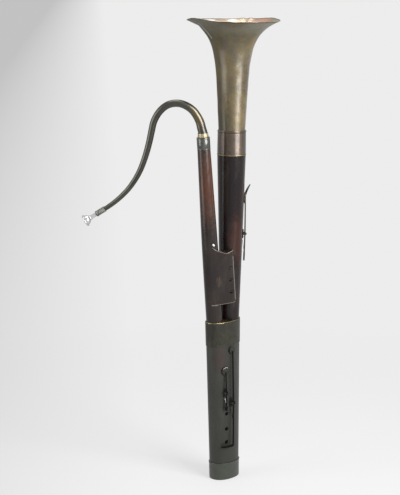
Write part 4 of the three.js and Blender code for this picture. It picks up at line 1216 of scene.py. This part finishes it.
class HORN_OT_crook(bpy.types.Operator):
    """Build the swan-neck crook with its collar, thread and mouthpiece receiver"""

    bl_idname = "horn.crook"
    bl_label = "Crook"

    def execute(self, context):
        line = smooth([(x, 0, z) for x, z in CROOK_LINE], 6)
        lengths = [0.0]
        for before, after in zip(line, line[1:]):
            lengths.append(lengths[-1] + (after - before).length)
        radii = [self.radius(length / lengths[-1]) for length in lengths]
        inner_radii = [radius * 0.9 for radius in radii]
        up, across = (0, 0, 1), (0, 1, 0)
        outside = along_path(line, across, radii, radii)
        inside = along_path(line, across, inner_radii, inner_radii)[::-1]
        bore, tenon = 8.4, 9.4
        foot = [
            station((0, 0, height), up, across, radius, radius)
            for height, radius in ((-30, bore), (-30, tenon), (0, tenon), (0, CROOK_FOOT_RADIUS))
        ]
        wall = [station((0, 0, height), up, across, bore, bore) for height in (1, -29)]
        tube = swept(foot + outside[1:] + inside[:-1] + wall, 48, loop=True)
        tube.transform(CROOK)
        add_piece("crook_pipe", tube, "crook", ["crook_tube"], ["Crook brass"], bevel=0.15)
        collar = lathe([
            (11.5, 0), (12.5, 0), (12.85, 0.4), (12.85, 1.1), (12.4, 1.5), (12.4, 1.9), (12.95, 2.4),
            (12.95, 3.4), (12.4, 3.9), (12.2, 4.6), (12.2, 8), (12.5, 8.4), (12.5, 9.4), (12.2, 10),
            (11.5, 10),
        ], CROOK)
        add_piece(
            "crook_ring", collar, "crook", ["crook_collar"], ["Collar brass"], bevel=0.12
        )
        wound_thread("crook_thread", "crook_seat", "crook_lapping", 9.7, 10.5, -27, -3, CROOK)
        rings = [(6, -9), (6.6, -9), (7, -8.6), (7, -7.6), (6.5, -7.2)]
        for i in range(6):
            low = -6.4 + i * 2.4
            rings += [(6.5, low), (6.85, low + 0.4), (6.85, low + 1.1), (6.5, low + 1.5)]
        rings += [
            (6.6, 9), (6.6, 11.6), (7.1, 12.2), (7.2, 13.2), (7.2, 14.4), (6.8, 15), (4.1, 15), (3.6, 2.7),
            (2.4, 2.7), (2.4, 0.3), (6, 0.3),
        ]
        add_piece(
            "receiver", lathe(rings, CROOK_END, 64), "crook", ["mouthpiece_receiver"],
            ["Receiver brass"], bevel=0.1,
        )
        return {"FINISHED"}

    @staticmethod
    def radius(share):
        if share < CROOK_ARCH_SHARE:
            return CROOK_FOOT_RADIUS + (CROOK_ARCH_RADIUS - CROOK_FOOT_RADIUS) * share / CROOK_ARCH_SHARE
        past = (share - CROOK_ARCH_SHARE) / (1 - CROOK_ARCH_SHARE)
        return CROOK_ARCH_RADIUS + (CROOK_TIP_RADIUS - CROOK_ARCH_RADIUS) * past**1.25


class HORN_OT_mouthpiece(bpy.types.Operator):
    """Build the silver cup mouthpiece"""

    bl_idname = "horn.mouthpiece"
    bl_label = "Mouthpiece"

    def execute(self, context):
        cup = smooth([(5.1, 33, 0), (7.2, 34.6, 0), (9.5, 37.2, 0), (11, 40.3, 0), (11.7, 42.9, 0)], 4)
        bowl = smooth([(9.7, 45.7, 0), (8.8, 42.5, 0), (6.3, 38, 0), (2.3, 33, 0)], 4)
        outline = [
            (2.4, 3), (3.3, 3), (3.8, 15), (4.4, 16), (4.6, 24), (5, 30), (5.5, 30.6), (5.9, 31.3),
            (5.9, 32.1), (5.4, 32.7), *[(point.x, point.y) for point in cup], (12.4, 43.3), (13.7, 43.6),
            (14.15, 44.2), (14.25, 45.1), (13.9, 46.2), (13.1, 46.9), (12.1, 47.05), (11, 46.9),
            (10.2, 46.5), *[(point.x, point.y) for point in bowl],
        ]
        add_piece(
            "silver_mouthpiece", lathe(outline, CROOK_END), "mouthpiece", ["mouthpiece"],
            ["Mouthpiece silver"], bevel=0.1,
        )
        return {"FINISHED"}


class HORN_OT_bass(bpy.types.Operator):
    """Build the bass joint with the sleeve and ring round its socket, and its thread"""

    bl_idname = "horn.bass"
    bl_label = "Bass joint"

    def execute(self, context):
        tube = lathe([
            (16, -32), (19.3, -32), (19.3, 0), (23.2, 0), (25.94, 100), (28.68, 200), (31.42, 300),
            (34.24, 402.4), (32.5, 402.4), (32.5, 457), (30, 457), (30, 423), (24, 423),
        ], BASS, 128)
        axis_point = in_world(BASS, (0, 0, 297))
        joint = combined(tube, seat_and_tone_hole("thumb_key", 1.6, 6.5, axis_point))
        add_piece("bass_wood", joint, "bass", ["bass_joint"], ["Bass wood"], bevel=0.4)
        wound_thread("bass_thread", "bass", "bass_lapping", 19.6, 20.4, -29, -3, BASS)
        sleeve = lathe([
            (32.8, 405), (34.1, 405), (34.35, 405.3), (34.3, 407.4), (34.05, 407.7), (34.05, 408.2),
            (34.28, 408.5), (33.98, 450.6), (33.75, 450.9), (33.75, 451.4), (33.96, 451.7),
            (33.9, 456.6), (33.6, 457), (32.8, 457),
        ], BASS, 128)
        add_piece(
            "copper_sleeve", sleeve, "bass", ["bell_sleeve"], ["Sleeve copper"], bevel=0.12
        )
        ring = lathe([
            (32.8, 402.7), (34.5, 402.7), (34.8, 402.9), (34.95, 403.4), (34.95, 404), (34.8, 404.5),
            (34.5, 404.7), (32.8, 404.7),
        ], BASS, 128)
        add_piece("brass_line", ring, "bass", ["sleeve_ring"], ["Ring brass"], bevel=0)
        return {"FINISHED"}


class HORN_OT_bell(bpy.types.Operator):
    """Build the flared bell with its bent rim, foot bead, tenon and thread"""

    bl_idname = "horn.bell"
    bl_label = "Bell"

    def execute(self, context):
        sizes = context.scene.horn_sizes
        rings = 60
        heights = [BELL_RIM - (BELL_RIM - BELL_FOOT) * (1 - i / rings) ** 2 for i in range(rings + 1)]
        outer = [(self.radius(height), height) for height in heights]
        rim = outer[-1][0]
        lip = [
            (rim + out, BELL_RIM + up) for out, up in ((0.5, 0.25), (0.65, 0.75), (0.2, 1.15), (-0.6, 1))
        ]
        inner = [(radius - BELL_WALL, height) for radius, height in reversed(outer)]
        shell = lathe(outer + lip + inner, Matrix.Identity(4), 240)
        give_faces(shell, 1, self.faces_axis)
        give_faces(shell, 2, self.on_rim)
        for vert in shell.verts:
            vert.co += self.bend(vert.co / MM, sizes.rim_bend, sizes.dent_depth / MM) * MM
        shell.transform(BASS)
        add_piece(
            "bell_shell", shell, "bell", ["bell"], ["Bell brass", "Bell inside", "Rim brass"],
            bevel=0, crease=THIN_EDGE_ANGLE,
        )
        bead = lathe([
            (32.15, 457.3), (33.4, 457.3), (34.1, 457.5), (34.7, 458.1), (34.9, 459), (34.7, 460),
            (34, 460.6), (33.3, 460.8), (33.3, 461.5), (33.1, 462.3), (32.15, 462.3),
        ], BASS, 128)
        add_piece("foot_bead", bead, "bell", ["bell_bead"], ["Sleeve copper"], bevel=0)
        tenon = lathe([
            (27.6, 423.3), (28.6, 423.3), (28.6, 457), (30.2, 457.3), (30.2, 475.3), (27.6, 475.3),
        ], BASS)
        add_piece(
            "bell_socket_tube", tenon, "bell", ["bell_tenon"], ["Band brass"], bevel=0.15
        )
        wound_thread("bell_thread", "bell", "bell_lapping", 28.9, 29.7, 426.3, 454, BASS)
        return {"FINISHED"}

    @staticmethod
    def radius(height):
        flare = BELL_FLARE * math.exp((height - BELL_RIM) / BELL_FLARE_LENGTH)
        return BELL_FOOT_RADIUS + BELL_TAPER * (height - BELL_FOOT) + flare

    @staticmethod
    def faces_axis(face):
        """Whether a face of the upright bell looks inwards or up"""
        middle = face.calc_center_median()
        outward = Vector((middle.x, middle.y, 0)).normalized()
        return face.normal.dot(outward) < 0 or face.normal.z > 0.5

    @staticmethod
    def on_rim(face):
        """Whether a face of the upright bell lies on the outside of its rim"""
        middle = face.calc_center_median() / MM
        outside = face.normal.z < 0.5 and math.hypot(middle.x, middle.y) > BELL_LIP_RADIUS
        return outside and middle.z > BELL_RIM - 2

    @staticmethod
    def bend(point, strength, depth):
        """How far a point of the bell is moved, all in millimetres"""
        around = math.degrees(math.atan2(point.y, point.x) - RIGHT_OF_VIEW) % 360
        for (low, low_bend), (high, high_bend) in zip(RIM_BENDS, RIM_BENDS[1:]):
            if low <= around <= high:
                share = (around - low) / (high - low)
                share = share * share * (3 - 2 * share)
                rise = low_bend + (high_bend - low_bend) * share
        outward = Vector((point.x, point.y, 0)).normalized()
        below = BELL_RIM - point.z
        flare = clamped((point.z - (BELL_RIM - BELL_BEND_REACH)) / BELL_BEND_REACH) ** 2
        moved = Vector((0, 0, rise * flare * strength))
        # The left lip curls in, most of all a little below the rim
        kink = hill(around, LIP_MIDDLE, LIP_SPREAD) * math.exp(-abs(below - LIP_DEPTH) / LIP_FADE)
        moved -= outward * (kink * LIP_CURL * strength)
        # The crease: a ridge with a valley on its left, which fades out below and just under the rim
        crease = around - (CREASE_TURN + (below - 10) * CREASE_LEAN)
        fold = clamped((below - 4) / 4) * clamped((48 - below) / 10) * strength
        moved += outward * (fold * RIDGE_RISE * hill(crease, 0, RIDGE_SPREAD))
        moved -= outward * (fold * VALLEY_DEPTH * hill(crease, -VALLEY_TURN, VALLEY_SPREAD))
        # Shallow dents, deeper towards the flare, and a fine ripple of the rim
        upper = clamped((point.z - BELL_FOOT - 30) / 120)
        dent = noise.noise(Vector((point.x, point.y, point.z)) / DENT_SIZE)
        moved += outward * (dent * depth * (0.35 + upper))
        ripple = noise.noise(Vector((around / RIPPLE_TURN, 3.1, 0.4)))
        moved.z += ripple * RIPPLE_RISE * flare * strength
        return moved


class HORN_OT_butt_keys(bpy.types.Operator):
    """Build the two keys on the front of the butt"""

    bl_idname = "horn.butt_keys"
    bl_label = "Butt keys"

    def execute(self, context):
        for name in ("key_a", "key_b"):
            key = KEYS[name]
            touch = [key_touch(key)] if name == "key_a" else self.turned_touch(key)
            lever = joined([key_lever(key), key_boss(key), *touch])
            add_piece(f"{name}_lever", lever, name, [name], ["Black key"], bevel=0.15)
            add_piece(f"{name}_flap", key_flap(key), name, [name], ["Flap metal"], bevel=0.2)
            key_pad(f"{name}_pad", key, name)
        return {"FINISHED"}

    @staticmethod
    def turned_touch(key):
        """The long key's touch, which turns in round the butt, with a row of beads on its face"""
        height, lift = 89, key["pivot_lift"]
        start_x, length, half_thickness = -2.8, 29.9, 1.25
        bead_places, bead_rise, bead_foot, bead_top = (3, 5, 7, 9), 1.1, 1.5, 0.9
        widths = [2.4, 3, 3.3, 3.3, 3.3, 3.3, 3.3, 3.3, 3.3, 3.3, 3.2, 2.7, 1.6]
        last = len(widths) - 1
        points, beads = [], []
        for i in range(last + 1):
            x = start_x - length * i / last
            outward = oval_outward(x, height)
            points.append(Vector((x, oval_front(x, height), height)) + outward * lift)
            if i in bead_places:
                face = points[-1] + outward
                beads.append(rod(face, face + outward * bead_rise, bead_foot, bead_top, sides=16))
        # The root starts inside the lever
        points[0].x = -4
        bar = swept(along_path(points, (0, 0, 1), widths, [half_thickness] * len(widths)), 14, power=3)
        return [bar, *beads]


class HORN_OT_thumb_key(bpy.types.Operator):
    """Build the thumb key on the bass joint's right side, with its curled leaf"""

    bl_idname = "horn.thumb_key"
    bl_label = "Thumb key"

    def execute(self, context):
        key = KEYS["thumb_key"]
        root_lift, leaf_lift, root_reach, leaf_length = 3.8, 11, 94, 26
        widths = [3, 4, 5, 5.5, 5.7, 5.7, 5.5, 5.1, 4.5, 3.6, 2.2]
        shares = [i / (len(widths) - 1) for i in range(len(widths))]
        points = [(0, -(root_lift + leaf_lift * s**1.5), root_reach + leaf_length * s) for s in shares]
        thicknesses = [2.4 - 1.4 * share for share in shares]
        leaf = swept(along_path(points, (1, 0, 0), widths, thicknesses), 14, power=2.6)
        leaf.transform(key["frame"])
        lever = joined([key_lever(key), key_boss(key), key_touch(key), leaf])
        add_piece(
            "thumb_key_lever", lever, "thumb_key", ["thumb_key"], ["Key brass"], bevel=0.15
        )
        add_piece(
            "thumb_key_flap", key_flap(key), "thumb_key", ["thumb_key"],
            ["Key brass", "Rubbed brass"], bevel=0.2, worn=True,
        )
        key_pad("thumb_key_pad", key, "thumb_key")
        return {"FINISHED"}


class HORN_OT_fittings(bpy.types.Operator):
    """Finish the saddles, pins, screws, springs and foot cork, whose CAD shapes stay"""

    bl_idname = "horn.fittings"
    bl_label = "Small fittings"

    def execute(self, context):
        for name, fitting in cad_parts.items():
            if fitting.hide_render:
                continue
            material = "Old steel"
            if name == "turn_cork":
                material = "Foot cork"
            elif name.endswith("_saddle"):
                material = "Key brass" if name.startswith("thumb") else "Flap metal"
            for slot in fitting.material_slots:
                slot.material = finish(material)
            weld = fitting.modifiers.new("Weld", "WELD")
            weld.merge_threshold = WELD * 10
            round_edges(fitting, 0.2, SOFT_EDGE_ANGLE)
            even = fitting.modifiers.new("Even shading", "WEIGHTED_NORMAL")
            even.keep_sharp = False
        return {"FINISHED"}


class HORN_OT_stage(bpy.types.Operator):
    """Set up the floor, soft studio light and camera"""

    bl_idname = "horn.stage"
    bl_label = "Stage"

    def execute(self, context):
        scene = context.scene
        self.make_floor()
        self.make_world(scene)
        for lamp in LAMPS:
            self.make_lamp(*lamp)
        self.make_camera(scene)
        scene.view_settings.view_transform = "Standard"
        return {"FINISHED"}

    @staticmethod
    def make_floor():
        shape = bmesh.new()
        bmesh.ops.create_circle(shape, cap_ends=True, segments=96, radius=FLOOR_RADIUS)
        floor = as_object("floor", shape)
        tree, shader, place = new_material("Pale paper")
        tint = mixed(tree, noise_value(tree, place, 0.4, 2), grey(0.78), grey(0.8))
        feed(tree, shader, Base_Color=tint, Roughness=0.9, Specular_IOR_Level=0.0)
        # Away from the foot, the paper shows an even pale tone, darkened a little on the left by painted
        # shade
        ahead = along(tree, place, (FADE_LEAN * CAMERA_HEADING[0], FADE_LEAN * CAMERA_HEADING[1], 0))
        aside = maths(tree, "SUBTRACT", along(tree, place, LEFT_OF_VIEW), ahead, clamp=False)
        left_shade = ranged(tree, aside, 0.2, 1.3)
        paper = mixed(tree, left_shade, grey(PAPER_TONE), grey(PAPER_TONE * FADED_SHARE))
        glow = node(tree, "ShaderNodeEmission", {"Color": paper, "Strength": 1.0})
        reach = vector_maths(tree, "LENGTH", {0: place}, "Value")
        shown = maths(tree, "MULTIPLY", seen_directly(tree), ranged(tree, reach, 0.1, 1.5, 0.65, 1.0))
        mix = node(tree, "ShaderNodeMixShader", {0: shown, 1: shader.outputs[0], 2: glow.outputs[0]})
        tree.links.new(mix.outputs[0], tree.nodes["Material Output"].inputs["Surface"])
        floor.data.materials.append(bpy.data.materials["Pale paper"])

    @staticmethod
    def make_world(scene):
        world = bpy.data.worlds.new("Studio")
        world.use_nodes = True
        scene.world = world
        tree = world.node_tree
        background = tree.nodes["Background"].inputs
        background["Strength"].default_value = 1.0
        put(tree, background["Color"], mixed(tree, seen_directly(tree), LIT_WORLD, grey(PAPER_TONE)))

    @staticmethod
    def make_lamp(name, place, target, size, power):
        data = bpy.data.lights.new(name, "AREA")
        data.shape = "RECTANGLE"
        data.size, data.size_y = size
        data.energy = power
        lamp = bpy.data.objects.new(name, data)
        lamp.location = place
        lamp.rotation_euler = (Vector(target) - Vector(place)).to_track_quat("-Z", "Y").to_euler()
        lamp.visible_camera = False
        bpy.context.scene.collection.objects.link(lamp)

    @staticmethod
    def make_camera(scene):
        data = bpy.data.cameras.new("Camera")
        data.sensor_width = SENSOR_WIDTH
        data.lens = FOCAL_PIXELS * data.sensor_width / max(IMAGE_WIDTH, IMAGE_HEIGHT)
        data.clip_end = FAR_CLIP
        camera = bpy.data.objects.new("Camera", data)
        camera.location = CAMERA_PLACE
        level = math.cos(CAMERA_PITCH)
        ahead = Vector((CAMERA_HEADING[0] * level, CAMERA_HEADING[1] * level, -math.sin(CAMERA_PITCH)))
        camera.rotation_euler = ahead.to_track_quat("-Z", "Y").to_euler()
        scene.collection.objects.link(camera)
        scene.camera = camera


OPERATORS = [
    HORN_OT_butt,
    HORN_OT_wing,
    HORN_OT_crook,
    HORN_OT_mouthpiece,
    HORN_OT_bass,
    HORN_OT_bell,
    HORN_OT_butt_keys,
    HORN_OT_thumb_key,
    HORN_OT_fittings,
    HORN_OT_stage,
]


class HORN_PT_panel(bpy.types.Panel):
    """Lists the horn's sizes, colours and pieces in the sidebar"""

    bl_idname = "HORN_PT_panel"
    bl_label = "Serpent bass horn"
    bl_space_type = "VIEW_3D"
    bl_region_type = "UI"
    bl_category = "Horn"

    def draw(self, context):
        layout = self.layout
        for group in (context.scene.horn_sizes, context.scene.horn_colours):
            for name in group.__annotations__:
                layout.prop(group, name)
        for operator in OPERATORS:
            layout.operator(operator.bl_idname)


CLASSES = [HornSizes, HornColours, *OPERATORS, HORN_PT_panel]


def register():
    for each in CLASSES:
        bpy.utils.register_class(each)
    bpy.types.Scene.horn_sizes = bpy.props.PointerProperty(type=HornSizes)
    bpy.types.Scene.horn_colours = bpy.props.PointerProperty(type=HornColours)


def unregister():
    del bpy.types.Scene.horn_colours
    del bpy.types.Scene.horn_sizes
    for each in reversed(CLASSES):
        bpy.utils.unregister_class(each)


def main():
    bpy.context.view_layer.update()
    register()
    for operator in OPERATORS:
        group, name = operator.bl_idname.split(".")
        getattr(getattr(bpy.ops, group), name)()


if __name__ == "__main__":
    main()
